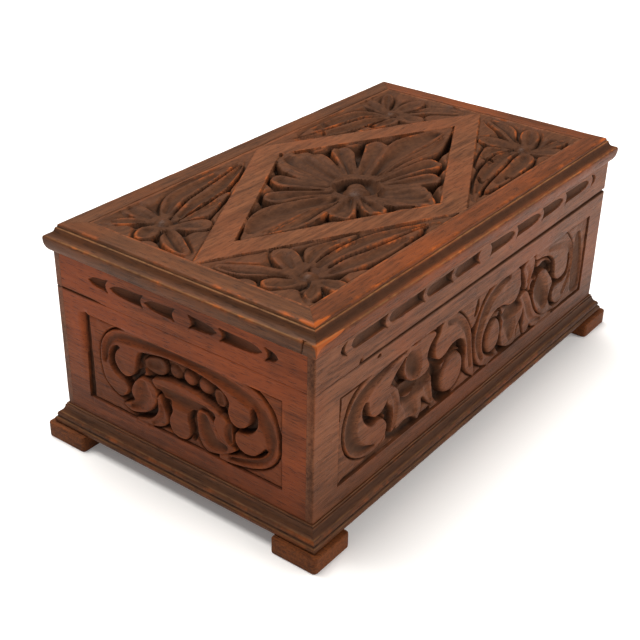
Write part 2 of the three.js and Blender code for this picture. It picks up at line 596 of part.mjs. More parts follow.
function addMouldings() {
  [['front', HALF_L], ['back', HALF_L], ['left', HALF_W], ['right', HALF_W]].forEach(([f, half]) => {
    add(`base_moulding_${f}`, placed(strip(BASE_PROFILE, half), f), MOULDING);
    add(`lid_rim_${f}`, placed(strip(RIM_PROFILE, half), f), MOULDING);
  });
}

function addLid() {
  const cut = underLid();
  const long = lidLong();
  const short = lidShort();
  add('lid_front', placed(long, 'front').subtract(cut), WALNUT);
  add('lid_back', placed(long, 'back').subtract(cut).subtract(hingePockets(LID_LEAF_Z, true)),
    WALNUT);
  add('lid_left', placed(short, 'left').subtract(cut), WALNUT);
  add('lid_right', placed(short, 'right').subtract(cut), WALNUT);
  add('lid_panel', lidPanel(), CARVED);
}

function addHinges() {
  hinges.forEach(([side, cx]) => {
    let low = leafPlate(cx, BODY_LEAF_Z, spansOfBody);
    let high = leafPlate(cx, LID_LEAF_Z, spansOfLid);
    SCREWS.forEach((dx, i) => {
      low = low.subtract(screw(cx + dx, BODY_LEAF_Z + LEAF_T, false, 0.04));
      high = high.subtract(screw(cx + dx, LID_LEAF_Z, true, 0.04));
      const n = `${side}_${i + 1}`;
      add(`screw_body_${n}`, screw(cx + dx, BODY_LEAF_Z + LEAF_T, false, 0), BRASS);
      add(`screw_lid_${n}`, screw(cx + dx, LID_LEAF_Z, true, 0), BRASS);
    });
    add(`hinge_leaf_body_${side}`, low, BRASS);
    add(`hinge_leaf_lid_${side}`, high, BRASS);
    add(`hinge_pin_${side}`, cylinder(PIN_R, cx - HINGE_HALF, cx + HINGE_HALF, PIN_Y, PIN_Z, 16),
      BRASS);
  });
}

function addLining() {
  const ix = HALF_L - WALL - CLEAR;
  const iy = HALF_W - WALL - CLEAR;
  const floor = FOOT_H + 0.4 + FLOOR_T + CLEAR;
  const top = BODY_TOP - 2.6;
  const low = floor + PAD + 0.6;
  add('lining_floor', cushion(-ix, ix, -iy, iy, floor, floor + PAD + 0.4), VELVET);
  const jx = ix - PAD - CLEAR;
  add('lining_front', cushion(-ix, ix, -iy, -iy + PAD, low, top), VELVET);
  add('lining_back', cushion(-ix, ix, iy - PAD, iy, low, top), VELVET);
  add('lining_left', cushion(-ix, -ix + PAD, -iy + PAD + CLEAR, iy - PAD - CLEAR, low, top), VELVET);
  add('lining_right', cushion(ix - PAD, ix, -iy + PAD + CLEAR, iy - PAD - CLEAR, low, top), VELVET);
  add('lining_lid', cushion(-jx, jx, -iy + 2.6, iy - 2.6, LID_FRAME_TOP - PAD - 0.4,
    LID_FRAME_TOP - CLEAR), VELVET);
}

addBody();
addMouldings();
addLid();
addHinges();
addLining();

export default model;
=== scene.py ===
"""Carved walnut jewelry box with a hinged lid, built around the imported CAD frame.

Shapes are worked out in millimetres and stored in metres. Every carved face has its own
frame: u to the right and v up as seen from outside, w outward with 0 on the face. A carved
face is a height field w(u, v) made of outlines (leaves, scrolls, buds) and gouge strokes.
"""
import math

import bmesh
import bpy
import numpy as np
from mathutils import Matrix, Vector


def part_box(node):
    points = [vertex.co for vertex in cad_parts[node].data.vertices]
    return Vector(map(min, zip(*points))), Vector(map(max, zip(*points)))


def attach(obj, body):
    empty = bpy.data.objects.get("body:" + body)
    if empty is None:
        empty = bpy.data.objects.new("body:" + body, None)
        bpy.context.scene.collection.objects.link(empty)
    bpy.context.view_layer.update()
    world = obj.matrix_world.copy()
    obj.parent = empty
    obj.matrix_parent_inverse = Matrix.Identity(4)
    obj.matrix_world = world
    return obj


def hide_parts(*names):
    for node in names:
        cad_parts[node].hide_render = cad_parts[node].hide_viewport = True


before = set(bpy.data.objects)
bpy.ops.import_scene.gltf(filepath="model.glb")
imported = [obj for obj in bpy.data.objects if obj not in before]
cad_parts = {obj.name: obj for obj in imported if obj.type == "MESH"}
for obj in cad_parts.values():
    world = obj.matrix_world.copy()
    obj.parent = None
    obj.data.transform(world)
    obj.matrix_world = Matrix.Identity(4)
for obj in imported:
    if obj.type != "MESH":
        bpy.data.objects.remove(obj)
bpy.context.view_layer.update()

MM = 0.001
HALF_L, HALF_W = 140.0, 80.0    # half size of the box body
WALL, LIP = 13.0, 4.0           # board thickness, lip of the long boards
FOOT, FOOT_H = 26.5, 8.8        # block feet
FOOT_OUT = 8.4                  # how far the feet reach past the body
BODY_TOP, LID_FRAME_TOP = 89.2, 108.2
LID_GAP, LID_WARP = 0.3, 1.3    # the shut seam, and what the lid's warp opens it by
PANEL_TOP, LID_TOP = 122.0, 122.4
PANEL_HL, PANEL_HW = 127.1, 67.1
TONGUE, TONGUE_TOP = 2.8, 113.0     # the panel's tongue, held under the rim
FLOWER_DEPTH, BAND = 7.2, 13.5      # carving of the lid, width of its flat diamond
CLEAR = 0.04                    # air between neighbouring pieces
BURIED = -40.0                  # height of a design where there is no piece
HOLLOW_SPAN, RIDGE_SPAN = 2.6, 0.9  # blurs that find hollows and worn arrises
ALL = (slice(None), slice(None))

FACES = {
    "front": Matrix(((1, 0, 0, 0), (0, 0, -1, -HALF_W), (0, 1, 0, 0), (0, 0, 0, 1))),
    "back": Matrix(((-1, 0, 0, 0), (0, 0, 1, HALF_W), (0, 1, 0, 0), (0, 0, 0, 1))),
    "left": Matrix(((0, 0, -1, -HALF_L), (-1, 0, 0, 0), (0, 1, 0, 0), (0, 0, 0, 1))),
    "right": Matrix(((0, 0, 1, HALF_L), (1, 0, 0, 0), (0, 1, 0, 0), (0, 0, 0, 1))),
    "top": Matrix(((1, 0, 0, 0), (0, 1, 0, 0), (0, 0, 1, PANEL_TOP), (0, 0, 0, 1))),
}


# ---- numeric helpers ----------------------------------------------------------------
def noise(u, v, size, seed, octaves=1):
    """Smooth value noise from -1 to 1 with features of about `size` mm."""
    nx, ny = 97, 89
    table = np.random.default_rng(seed).random((nx, ny)) * 2 - 1
    total, weight = 0.0, 1.0
    for k in range(octaves):
        x, y = u / size * 2**k + 31.7 * k, v / size * 2**k + 17.3 * k
        i, j = np.floor(x).astype(int), np.floor(y).astype(int)
        fx, fy = x - i, y - j
        fx, fy = fx * fx * (3 - 2 * fx), fy * fy * (3 - 2 * fy)
        i0, i1, j0, j1 = i % nx, (i + 1) % nx, j % ny, (j + 1) % ny
        low = table[i0, j0] * (1 - fx) + table[i1, j0] * fx
        high = table[i0, j1] * (1 - fx) + table[i1, j1] * fx
        total = total + weight * (low * (1 - fy) + high * fy)
        weight *= 0.5
    return total


def smooth_step(x):
    x = np.clip(x, 0, 1)
    return x * x * (3 - 2 * x)


def spline(points, closed, steps):
    """Catmull-Rom curve through rows of numbers."""
    p = np.asarray(points, float)
    n = len(p)
    out = []
    for i in range(n if closed else n - 1):
        if closed:
            a, b, c, d = p[i - 1], p[i], p[(i + 1) % n], p[(i + 2) % n]
        else:
            a, b, c, d = p[max(i - 1, 0)], p[i], p[i + 1], p[min(i + 2, n - 1)]
        for t in np.arange(steps) / steps:
            out.append(0.5 * (2 * b + (c - a) * t + (2 * a - 5 * b + 4 * c - d) * t**2
                              + (3 * b - a - 3 * c + d) * t**3))
    if not closed:
        out.append(p[-1])
    return np.array(out)


def along(U, V, a, b):
    """How far along the segment from a to b each point lies, from 0 to 1, and its vector."""
    dx, dy = b[0] - a[0], b[1] - a[1]
    t = ((U - a[0]) * dx + (V - a[1]) * dy) / max(dx * dx + dy * dy, 1e-9)
    return np.clip(t, 0, 1), dx, dy


def signed(U, V, poly):
    """Distance to a closed outline, positive inside, and the nearest point on it."""
    best = np.full(U.shape, 1e9)
    near_u, near_v = U.copy(), V.copy()
    inside = np.zeros(U.shape, bool)
    for a, b in zip(poly, np.roll(poly, -1, 0)):
        t, dx, dy = along(U, V, a, b)
        pu, pv = a[0] + t * dx, a[1] + t * dy
        d = (U - pu) ** 2 + (V - pv) ** 2
        closer = d < best
        best = np.where(closer, d, best)
        near_u, near_v = np.where(closer, pu, near_u), np.where(closer, pv, near_v)
        slope = dx / dy if abs(dy) > 1e-9 else 0.0
        inside ^= ((a[1] > V) != (b[1] > V)) & (U < a[0] + (V - a[1]) * slope)
    return np.where(inside, 1, -1) * np.sqrt(best), near_u, near_v


def stroke(U, V, path):
    """Distance to a tapered stroke (u, v, half width), as a share of its half width."""
    rows = spline(path, False, 4)
    best = np.full(U.shape, 9.0)
    for a, b in zip(rows[:-1], rows[1:]):
        t, dx, dy = along(U, V, a, b)
        d = np.hypot(U - a[0] - t * dx, V - a[1] - t * dy)
        best = np.minimum(best, d / np.maximum(a[2] + (b[2] - a[2]) * t, 0.05))
    return best


def axis_points(*spans):
    """Grid lines from spans of (start, end, step)."""
    out = [spans[0][0]]
    for a, b, step in spans:
        n = max(1, int(round((b - a) / step)))
        out += list(a + (b - a) * np.arange(1, n + 1) / n)
    return np.array(out)


# ---- relief -------------------------------------------------------------------------
class Relief:
    """A height field in millimetres over a grid of lines us and vs."""

    def __init__(self, us, vs):
        self.us, self.vs = us, vs
        self.U, self.V = np.meshgrid(us, vs, indexing="ij")
        self.H = np.zeros(self.U.shape)
        # stain: the carving's own stain, plus painted shade in the gouge cuts and along open seams
        self.stain = np.zeros(self.U.shape)
        self.free = np.ones(self.U.shape, bool)
        self.reach = 0.42 * np.median(np.diff(us))

    def snap(self, at, distance, u, v, where=True):
        """Moves grid points lying next to an edge onto it, so that it stays crisp."""
        here = (np.abs(distance) < self.reach) & self.free[at] & where
        self.U[at] = np.where(here, u, self.U[at])
        self.V[at] = np.where(here, v, self.V[at])
        self.free[at] &= ~here
        return here

    def window(self, points, margin):
        p = np.asarray(points)
        i0, i1 = np.searchsorted(self.us, (p[:, 0].min() - margin, p[:, 0].max() + margin))
        j0, j1 = np.searchsorted(self.vs, (p[:, 1].min() - margin, p[:, 1].max() + margin))
        return slice(max(i0, 0), i1 + 1), slice(max(j0, 0), j1 + 1)

    def trace(self, points, margin, steps):
        """The window round an outline, its grid points and their distance to the outline."""
        poly = spline(points, True, steps) if steps > 1 else np.asarray(points, float)
        at = self.window(poly, margin)
        return at, self.U[at], self.V[at], signed(self.U[at], self.V[at], poly)

    def leaf(self, points, top=0.0, edge=0.45, steep=6.0, hollows=(), steps=5):
        """Raises a piece with a worn edge, then gouges its hollows."""
        at, U, V, (inside, near_u, near_v) = self.trace(points, 2.5, steps)
        level = top(U, V) if callable(top) else top
        here = self.snap(at, inside, near_u, near_v, level - edge > self.H[at])
        inside = np.where(here, 0, inside)
        t = np.clip(inside / edge, 0, 1)
        h = -0.8 * edge * (1 - np.sqrt(1 - (1 - t) ** 2)) + np.minimum(inside, 0) * steep
        h = h + level
        for path, depth, *kind in hollows:
            q = stroke(U, V, path)
            rim = 1.0 if kind else smooth_step(inside / 1.1)
            h = h - depth * np.clip(1 - q * q, 0, 1) ** 1.15 * rim
        self.H[at] = np.maximum(self.H[at], h)

    def cut(self, points, depth, tint, steep):
        """Sinks an outline; depth and the stain and painted shade left in it are functions of (u,
        v).
        """
        at, U, V, (inside, near_u, near_v) = self.trace(points, 1.5, 1)
        inside = np.where(self.snap(at, inside, near_u, near_v), 0, inside)
        floor = -np.minimum(depth(U, V), np.maximum(inside, 0) * steep)
        self.stain[at] = np.maximum(self.stain[at], tint(U, V) * (inside > 0))
        self.H[at] = np.where(inside > 0, np.minimum(self.H[at], floor), self.H[at])

    def groove(self, path, depth):
        """A gouge channel cut into whatever is there."""
        rows = np.asarray(path, float)
        at = self.window(rows[:, :2], rows[:, 2].max() + 1)
        q = stroke(self.U[at], self.V[at], path)
        self.H[at] -= depth * np.clip(1 - q * q, 0, 1)

    def blurred(self, radius, h):
        """Tent blur of a field over about `radius` mm, on a grid with uneven steps."""
        for axis, x in ((0, self.us), (1, self.vs)):
            h = np.moveaxis(h, axis, 0)
            for _ in range(2):
                low, high = np.maximum(x - radius, x[0]), np.minimum(x + radius, x[-1])
                step = np.diff(x)[:, None]
                total = np.concatenate([np.zeros((1, h.shape[1])),
                                        np.cumsum((h[1:] + h[:-1]) / 2 * step, 0)])
                h = (self._at(total, h, x, high) - self._at(total, h, x, low)) \
                    / (high - low)[:, None]
            h = np.moveaxis(h, 0, axis)
        return h

    @staticmethod
    def _at(total, h, x, where):
        k = np.clip(np.searchsorted(x, where, side="right") - 1, 0, len(x) - 2)
        t = (where - x[k])[:, None]
        share = t / (x[k + 1] - x[k])[:, None]
        return total[k] + t * (h[k] + (h[k + 1] - h[k]) * share / 2)


def boundary(n, m):
    """Grid indices round the border, anticlockwise seen from outside."""
    loop = [(i, 0) for i in range(n - 1)] + [(n - 1, j) for j in range(m - 1)]
    return loop + [(i, m - 1) for i in range(n - 1, 0, -1)] + [(0, j) for j in range(m - 1, 0, -1)]


def quads(idx):
    """Four-sided faces over a grid of vertex numbers."""
    corners = idx[:-1, :-1], idx[1:, :-1], idx[1:, 1:], idx[:-1, 1:]
    return np.stack(corners, 2).reshape(-1, 4)


def add_object(name, data):
    obj = bpy.data.objects.new(name, data)
    bpy.context.scene.collection.objects.link(obj)
    return obj


def mesh_object(name, co, faces, matrix=None):
    mesh = bpy.data.meshes.new(name)
    mesh.from_pydata((np.asarray(co) * MM).tolist(), [], faces)
    if matrix is not None:
        m = matrix.copy()
        m.translation = m.translation * MM
        mesh.transform(m)
    return add_object(name, mesh)


def finish_mesh(obj, angle):
    """Triangulates large caps, shades smooth and keeps crisp arrises."""
    bm = bmesh.new()
    bm.from_mesh(obj.data)
    caps = [f for f in bm.faces if len(f.verts) > 4]
    if caps:
        bmesh.ops.triangulate(bm, faces=caps)
    bm.to_mesh(obj.data)
    bm.free()
    obj.data.shade_smooth()
    obj.data.set_sharp_from_angle(angle=math.radians(angle))


def store(obj, **fields):
    """Per-vertex numbers that the materials read."""
    n = len(obj.data.vertices)
    for key, values in fields.items():
        attribute = obj.data.attributes.new(key, "FLOAT", "POINT")
        full = np.zeros(n, np.float32)
        full[:len(values)] = values
        attribute.data.foreach_set("value", full)


def board(name, face, relief, loops, lift=0.0):
    """A board whose outer face is a relief; loops carry its border back to the rear face.

    lift raises the board's lower edge and fades out within 8 mm.
    """
    n, m = relief.H.shape
    V = relief.V + lift * np.clip(1 - (relief.V - relief.vs[0]) / 8.0, 0, 1)
    co = np.stack([relief.U, V, relief.H], 2).reshape(-1, 3)
    idx = np.arange(n * m).reshape(n, m)
    faces = quads(idx).tolist()
    ring = [idx[i, j] for i, j in boundary(n, m)]
    border, rows, k = co[ring], [co], len(ring)
    for turn, move in enumerate(loops):
        rows.append(np.array([move(*p) for p in border]))
        new = list(range(n * m + turn * k, n * m + turn * k + k))
        faces += [[ring[i], new[i], new[(i + 1) % k], ring[(i + 1) % k]] for i in range(k)]
        ring = new
    faces.append(list(reversed(ring)))
    obj = mesh_object(name, np.concatenate(rows), faces, FACES[face])
    H = relief.H
    # deep: hollows below their surroundings, darkened with dirt and painted shade
    hollow = relief.blurred(HOLLOW_SPAN, H) - H
    ridge = H - relief.blurred(RIDGE_SPAN, H)
    # sunk: the carving's stain, plus painted shade that grows with the depth of the cut
    sunk = np.maximum(smooth_step((-H - 0.35) / 2.0), relief.stain)
    wear = 0.8 * smooth_step((ridge - 0.12) / 0.35) * smooth_step((H + 2.6) / 1.6)
    store(obj, deep=smooth_step((hollow - 0.1) / 1.25).ravel(), wear=wear.ravel(),
          sunk=sunk.ravel())
    finish_mesh(obj, 60)
    return obj


# ---- carved designs -----------------------------------------------------------------
FRONT_RECESS = (-121.5, 124.0, 30.0, 79.0)
# each entry: outline, then hollows as (path of (u, v, half width), depth); a hollow marked
# "open" has no rim, so the piece runs down under its neighbour
FRONT_CARVING = [
    # left scroll with its hanging bud
    ([(-96, 34.2), (-88, 35.2), (-83.2, 39), (-82, 43.5), (-84.4, 47.6), (-88.4, 50),
      (-94.5, 49.3), (-99.6, 53), (-102.4, 58), (-102.6, 62.4), (-100.6, 65.2), (-98, 64),
      (-97.4, 59.4), (-95, 55), (-91, 53), (-86.6, 53.6), (-83, 57), (-81.8, 62), (-77, 68.4),
      (-69, 73.6), (-60, 77), (-70, 79.6), (-92, 79.6), (-105, 76), (-112, 70.4),
      (-116.4, 62), (-116.6, 52), (-112.8, 43), (-105.6, 37)],
     [([(-92, 36.8, 0.6), (-100, 39, 2.4), (-107, 43.4, 4.2), (-110.8, 50, 5),
        (-110.8, 59, 5.2), (-107, 67, 5), (-99, 71.6, 4.2), (-88, 74.8, 2.6),
        (-76, 76.8, 1.2), (-68, 77.6, 0.5)], 2.0)]),
    ([(-81.6, 64.4), (-77, 62.6), (-73, 58), (-71.2, 51), (-71.8, 44), (-74.4, 38.6),
      (-78, 36.6), (-77.2, 42), (-76.8, 47), (-78.8, 52), (-82, 55.6), (-82.6, 60)],
     [([(-78.6, 59, 1.2), (-75.4, 53, 2), (-74.6, 46, 2), (-76, 39, 1.2)], 0.8)]),
    ([(-69.4, 68.5), (-67.4, 62.6), (-62.6, 58.4), (-56, 56.4), (-49.6, 56.4), (-46, 59.6),
      (-48.6, 65), (-46.6, 70.4), (-41.4, 75.6), (-50, 78.6), (-61, 77.4), (-67, 73.6)],
     [([(-64, 72, 4), (-61, 67, 7.4), (-58, 61.8, 4.6)], 2.3)]),
    # pair of leaves lying under the bud and the disc
    ([(-72, 57), (-64, 58), (-56, 56), (-48, 56.4), (-44, 53.4), (-43, 47), (-41.4, 40),
      (-40, 33), (-43.6, 35.6), (-46.6, 38.6), (-49.4, 42), (-51.6, 43), (-51.2, 38),
      (-52.8, 34), (-54.6, 32), (-57.6, 34.8), (-62, 37), (-68, 37.6), (-73.6, 36.4),
      (-73.8, 42), (-72.4, 50)],
     [([(-70, 55, 6), (-60, 54, 8.4), (-48, 55, 6)], 3.4, "open"),
      ([(-66, 49, 5), (-62, 43.4, 5.6), (-57, 37.6, 2)], 1.3),
      ([(-48.6, 49, 2.4), (-45.6, 43, 2.2), (-42.6, 37, 1)], 0.9)]),
    # right arm with its bud, running down as a long rib
    ([(-41.6, 65), (-40.2, 60.6), (-36.4, 58), (-31, 59), (-25, 61.6), (-18, 61.4),
      (-13, 58), (-11, 51.6), (-11, 45), (-9.4, 38.4), (-5, 33.6), (0, 30.6), (-0.6, 36),
      (-2.6, 43), (-4.4, 51), (-6.4, 60), (-10.6, 68), (-17, 74.8), (-25, 79.6),
      (-35, 78.4), (-37.6, 73.6), (-40.6, 70)],
     [([(-30, 76, 1.4), (-21, 73, 2.6), (-14, 67, 2.8), (-9.4, 59, 2.2), (-6.8, 48, 2),
        (-4.6, 39, 1.3)], 1.3)]),
    # long arm of the right group with its bud
    ([(14, 30.6), (6, 33.6), (0.8, 40), (-1.8, 50), (-1.2, 60), (2.6, 68.6), (9, 75),
      (18, 79.4), (34, 79.6), (41.6, 77.4), (43.4, 71.6), (44.8, 66.4), (43.2, 61.8),
      (39, 58.6), (33.6, 58.6), (28, 61), (21, 62), (14.6, 60.6), (9.4, 56), (6.6, 49),
      (7.4, 43), (10.8, 38), (16.4, 34.4), (22, 32.4)],
     [([(7, 37.6, 1.6), (2.8, 46, 2.6), (2.4, 55, 3.4), (6, 64, 4), (12.4, 71, 4.2),
        (22, 75.4, 3), (31, 76.4, 1.6)], 1.5)]),
    ([(27.4, 54.6), (36, 57.4), (45, 57), (49.4, 51), (50, 46), (46.4, 42.4), (44, 38),
      (44.6, 33), (41, 31), (34, 32.4), (28, 36.6), (26.6, 46)],
     [([(31, 56, 6), (38, 55, 7), (45, 55, 5)], 3.0, "open"),
      ([(33, 48, 5.6), (37, 43, 6.4), (38, 37, 3)], 1.6)]),
    ([(44.6, 58), (50, 59.8), (54.6, 57.4), (59.2, 50.6), (63.4, 43.4), (69, 37.4),
      (77.6, 33.4), (88, 30.8), (72, 30.4), (64, 31.4), (60.4, 34.6), (57.4, 32),
      (54, 31.6), (51.6, 36.4), (51.8, 42), (51.2, 47), (48, 52.6)],
     [([(49, 56.6, 1.6), (53.8, 51, 2.6), (57.8, 42.6, 2.6), (63.4, 36.2, 2),
        (73, 32.6, 1.1)], 0.9)]),
    ([(45.6, 75), (50, 78.6), (57.6, 78), (58.6, 71.4), (55, 64.4), (50.4, 60.8),
      (49.6, 66), (47.8, 70.6)],
     [([(50, 74.6, 2), (53.6, 70, 2.4), (53, 65, 1.6)], 0.7)]),
    # far disc, then the far scroll
    ([(60.8, 53), (62.8, 60), (67.6, 65), (73.4, 64), (79, 58.6), (84, 52), (81.8, 47),
      (81.2, 41.6), (84.6, 36.4), (89, 33), (80, 33), (72, 36.6), (65.6, 43)],
     [([(66, 60, 5.4), (70, 52, 8.4), (76, 42.6, 5)], 2.2)]),
    ([(62, 79.2), (60.4, 75), (70, 73.2), (78, 70.4), (83.6, 65), (85, 59), (86, 54.6),
      (90, 51.2), (95.6, 50.6), (99.8, 53), (101.2, 58), (100.4, 63), (102.8, 63.6),
      (104.2, 60), (104.6, 55), (102.2, 49.8), (97.4, 47.2), (91, 47.6), (86.8, 46.6),
      (85.4, 42.4), (87.6, 37.6), (93, 34.4), (99.6, 35.6), (105, 41), (108, 49),
      (108.2, 58), (105.6, 67), (100, 74), (92, 79)],
     [([(99, 39.4, 2.2), (104.4, 47, 2.2), (106, 57, 2), (102.8, 66, 2.6), (96.6, 71, 3),
        (88, 73.6, 3), (76, 75.6, 1.6)], 1.1)]),
]
# dark valleys cut down between crowded pieces: path of (u, v, half width), depth
FRONT_VALLEYS = [
    ([(-120.4, 78.4, 1.2), (-120.2, 71, 1.1), (-120.6, 66, 0.6)], 2.6),
    ([(-120.4, 78.2, 1), (-111, 78, 0.9), (-105, 78.2, 0.5)], 2.6),
    ([(-100.8, 64.6, 1.4), (-102, 59, 3), (-99, 53, 3.2), (-92, 50.4, 2.4), (-86, 52, 1.8)], 5.2),
    ([(-85, 53.6, 1.6), (-81, 50, 2.2), (-79.8, 44, 2.4), (-80, 38, 1.6)], 4.2),
    ([(-72, 55, 2.4), (-66, 56, 3.6), (-58, 55, 3), (-50, 55, 2)], 3.9),
    ([(-78.4, 63.6, 2.4), (-74, 62, 4.6), (-68, 58, 3.6)], 4.0),
    ([(-118, 30.8, 0.9), (-104, 31.2, 1.3), (-90, 31.8, 1.7), (-80, 33, 2)], 1.7),
    ([(112.4, 70, 3), (115, 54, 6), (116, 38, 6)], 2.0),
    ([(-0.6, 75.4, 0.9), (-1.4, 71.6, 1.6), (-3, 68, 0.8)], 3.6),
    ([(45.6, 70, 1.4), (44.4, 64, 2), (40, 59.4, 1.6)], 4.4),
    ([(101.6, 62, 1.4), (102.6, 56, 2), (98, 50, 1.8), (91, 49, 1.8), (84, 52, 2)], 5.0),
    ([(81.6, 49, 1.6), (82.4, 43, 2), (85, 37.6, 1.6)], 4.4),
    ([(6.4, 56, 2), (8, 61, 2), (14, 62.4, 2), (24, 61, 1.6)], 4.8),
    ([(-79, 65, 1.6), (-74, 69.6, 3.4), (-69.6, 66, 3.8), (-67, 60.4, 2.8), (-60, 56.6, 2.2),
      (-51, 54.6, 1.2)], 5.2),
    ([(-38, 76.6, 2), (-43, 71.6, 3), (-44.8, 65, 3.6), (-42.6, 58, 4), (-38.4, 50, 3.8),
      (-37, 42, 3.6), (-32.6, 35, 3.6), (-24, 31.6, 2.2)], 5.4),
    ([(-41, 57.6, 2.6), (-33, 57, 2.6), (-22, 59.4, 2.2), (-13.4, 56, 2.6), (-11, 48, 2.4)], 5.2),
    ([(-80, 35, 1.6), (-70, 33.4, 2.8), (-60, 33, 3), (-51, 31.4, 1.8), (-44, 31.8, 1.8)], 3.4),
    ([(24, 57, 1.8), (25.6, 50, 2.2), (24.6, 42, 2.2), (28, 34, 2.2), (36, 31, 1.4)], 4.6),
    ([(60, 60, 2.4), (60.4, 52, 2.4), (64, 44, 2.2), (70, 37.4, 1.6)], 4.8),
    ([(44.6, 64, 1.6), (47, 59.6, 1.4), (46, 54, 1.2)], 4.6),
    ([(59.6, 76, 2), (59.6, 68, 3), (63, 66.4, 2.6), (72, 67.6, 2.2), (81, 62, 2.2)], 4.8),
]
FRONT_EGGS = [(-23.4, 44, 11.2, 11.4), (18.6, 46, 8, 10.4)]

END_RECESS = (-62.5, 62.5, 31.0, 80.0)
END_CARVING = [
    # broad arch with a curled bud at each end, running round the right side to the foot
    ([(0, 80.6), (25, 80.6), (44, 79.4), (53.6, 74), (58.4, 66), (60.4, 56), (59.4, 47),
      (54, 39.6), (45, 35), (35, 32.4), (26, 31.6), (24.6, 33.4), (31, 36), (38, 38.6),
      (45, 40.6), (50.4, 43.6), (54, 48), (52.4, 49.4), (49.6, 46), (45.6, 42.4),
      (40.4, 41.4), (36.2, 43.2), (34.4, 47), (35.4, 51.2), (40, 52), (45, 54.6),
      (48.2, 60), (47.4, 66.4), (45, 68.4), (43.8, 66.4), (44, 62), (41.6, 57),
      (37, 54.2), (32.6, 55.4), (30.4, 60), (31, 65.6), (27.6, 70), (20, 72.6), (10, 74.2),
      (0, 74.6), (-10, 74), (-20, 72.2), (-25.4, 70.6), (-27.8, 66), (-28.4, 61),
      (-30.4, 56.6), (-35, 53.6), (-39.6, 55.2), (-42.4, 60), (-41.6, 65), (-38.6, 68.4),
      (-41, 69), (-44.6, 66.4), (-46.8, 60), (-45, 54.6), (-41, 51.6), (-36.4, 50.4),
      (-34.2, 47), (-36.4, 42.6), (-40.4, 40.2), (-46, 42.6), (-50.4, 47), (-52.2, 54),
      (-52.4, 62), (-50, 69.6), (-44, 76), (-34, 79.8), (-18, 80.6)],
     [([(-49.6, 58, 1.6), (-48, 66, 2.4), (-41.4, 73.6, 3), (-30, 76, 3.6),
        (-12, 77.6, 2.6), (5, 77.8, 2.6), (24, 76.4, 3.6), (38, 73.6, 4.4), (48.6, 68.6, 5),
        (54.4, 60.6, 4.4), (56.4, 52, 3), (52, 43, 2.6), (42, 37.4, 2), (31, 34.4, 1)], 1.7)]),
    # leaves under the arch, right of the middle
    ([(10.8, 52), (16, 53.6), (21, 50.4), (22.6, 46), (27.6, 42.8), (34, 40.4), (30, 36.4),
      (23, 33), (16.6, 32), (12, 36), (10.6, 43)],
     [([(14.4, 50, 3), (16.4, 44, 4.6), (20, 38.6, 4.6), (27, 38.4, 2.4)], 1.7)], -0.8),
    ([(21.4, 50.4), (23.2, 55), (27, 56.6), (30, 54), (32.6, 49), (32.4, 44),
      (31, 41), (26.4, 43), (23, 46.4)],
     [([(30.6, 52, 2), (30, 47.6, 2.6), (31, 43.4, 1.6)], 1.9, "open")]),
    # second arch with the tongue below it
    ([(-17.6, 58.6), (-8, 62), (3, 62.6), (14, 61.4), (25, 57.6), (21.4, 53), (16, 52.8),
      (11, 51.6), (6.4, 50.4), (5, 46), (6.2, 41), (6, 36.6), (2.6, 32.6), (-4, 32.6),
      (-7, 36.6), (-7, 41.4), (-5, 46), (-6.4, 50.4), (-10.6, 51), (-13.4, 53.4)],
     [([(-11, 54, 4), (-4, 53.6, 5), (4, 53.6, 5.2), (13, 54, 4.4), (20, 54, 2.6)], 2.2,
       "open")]),
    ([(-31, 41), (-32.4, 46), (-30, 52), (-25, 56.6), (-19, 56.8), (-15.4, 53), (-15.6, 47),
      (-18.4, 42), (-23, 37.6), (-32, 34.4), (-38, 36.6)],
     [([(-24.4, 53, 3.4), (-23.6, 47.4, 5.6), (-26.4, 41.6, 4), (-32, 37.6, 1.6)], 1.5)]),
    ([(-12.6, 51), (-11, 46), (-8.6, 42), (-8.8, 37.4), (-12.6, 33.6), (-20, 31.4),
      (-30, 31.6), (-20, 35), (-15.4, 40.4), (-14.6, 45.4), (-14.4, 50)],
     [([(-12.6, 46, 1), (-12, 39.4, 1.8), (-18, 33.6, 1.2)], 0.8)]),
    ([(-22, 63), (-23, 67), (-18, 70.4), (-11, 71.4), (-8.8, 67), (-11, 63), (-16, 61.6)],
     [([(-19, 66, 2.6), (-14, 67.6, 2.8)], 0.8)], -2.0),
    ([(21.4, 64), (22, 68.4), (26, 69), (28.4, 64.6), (27, 61), (23.4, 60.6)],
     [([(24.6, 66.4, 1.8), (25.2, 63, 1.8)], 0.8)], -1.8),
]
END_VALLEYS = [
    ([(-40.4, 68, 1.4), (-43.6, 62, 2.4), (-41.6, 55.4, 2.2), (-36, 52, 1.8)], 4.4),
    ([(45, 67, 1.4), (45.4, 61, 2.2), (42.4, 56, 2), (36, 53.2, 1.2)], 4.4),
    ([(52.6, 48.4, 1), (49, 44.6, 1.6), (43, 41.4, 1.4), (36.4, 41.8, 1.2)], 3.8),
    ([(-27, 68, 1.6), (-24.6, 61, 2), (-28, 57.6, 1.4)], 3.6),
    ([(-32, 52, 1), (-35, 47, 1.6), (-37, 40.6, 1.2)], 3.4),
    ([(9, 50, 1.2), (8.6, 43, 1.6), (8.4, 36, 1.4)], 3.2),
]
END_EGGS = [(-3.6, 67.6, 4.2, 4.2, -1.9), (5.8, 68, 4.3, 4.3, -1.3), (15.4, 67.4, 4.5, 4.5, -1.4)]

# gouge cuts along the lid sides: (rounded tip, deep end)
FRONT_CUTS = [(-29, -4), (-54, -29.5), (-85, -54.5), (-114, -85.5), (-122, -116.5),
              (31, 4.5), (59, 31.5), (84.5, 59.5), (116, 86), (124, 118)]
END_CUTS = [(-19.5, 0.5), (-42, -19.5), (-56.5, -42.5), (25.6, 7.6), (51.6, 26), (60.6, 52)]
CUT_DEPTH = 2.7

FLOWER = (-4.0, -3.0)
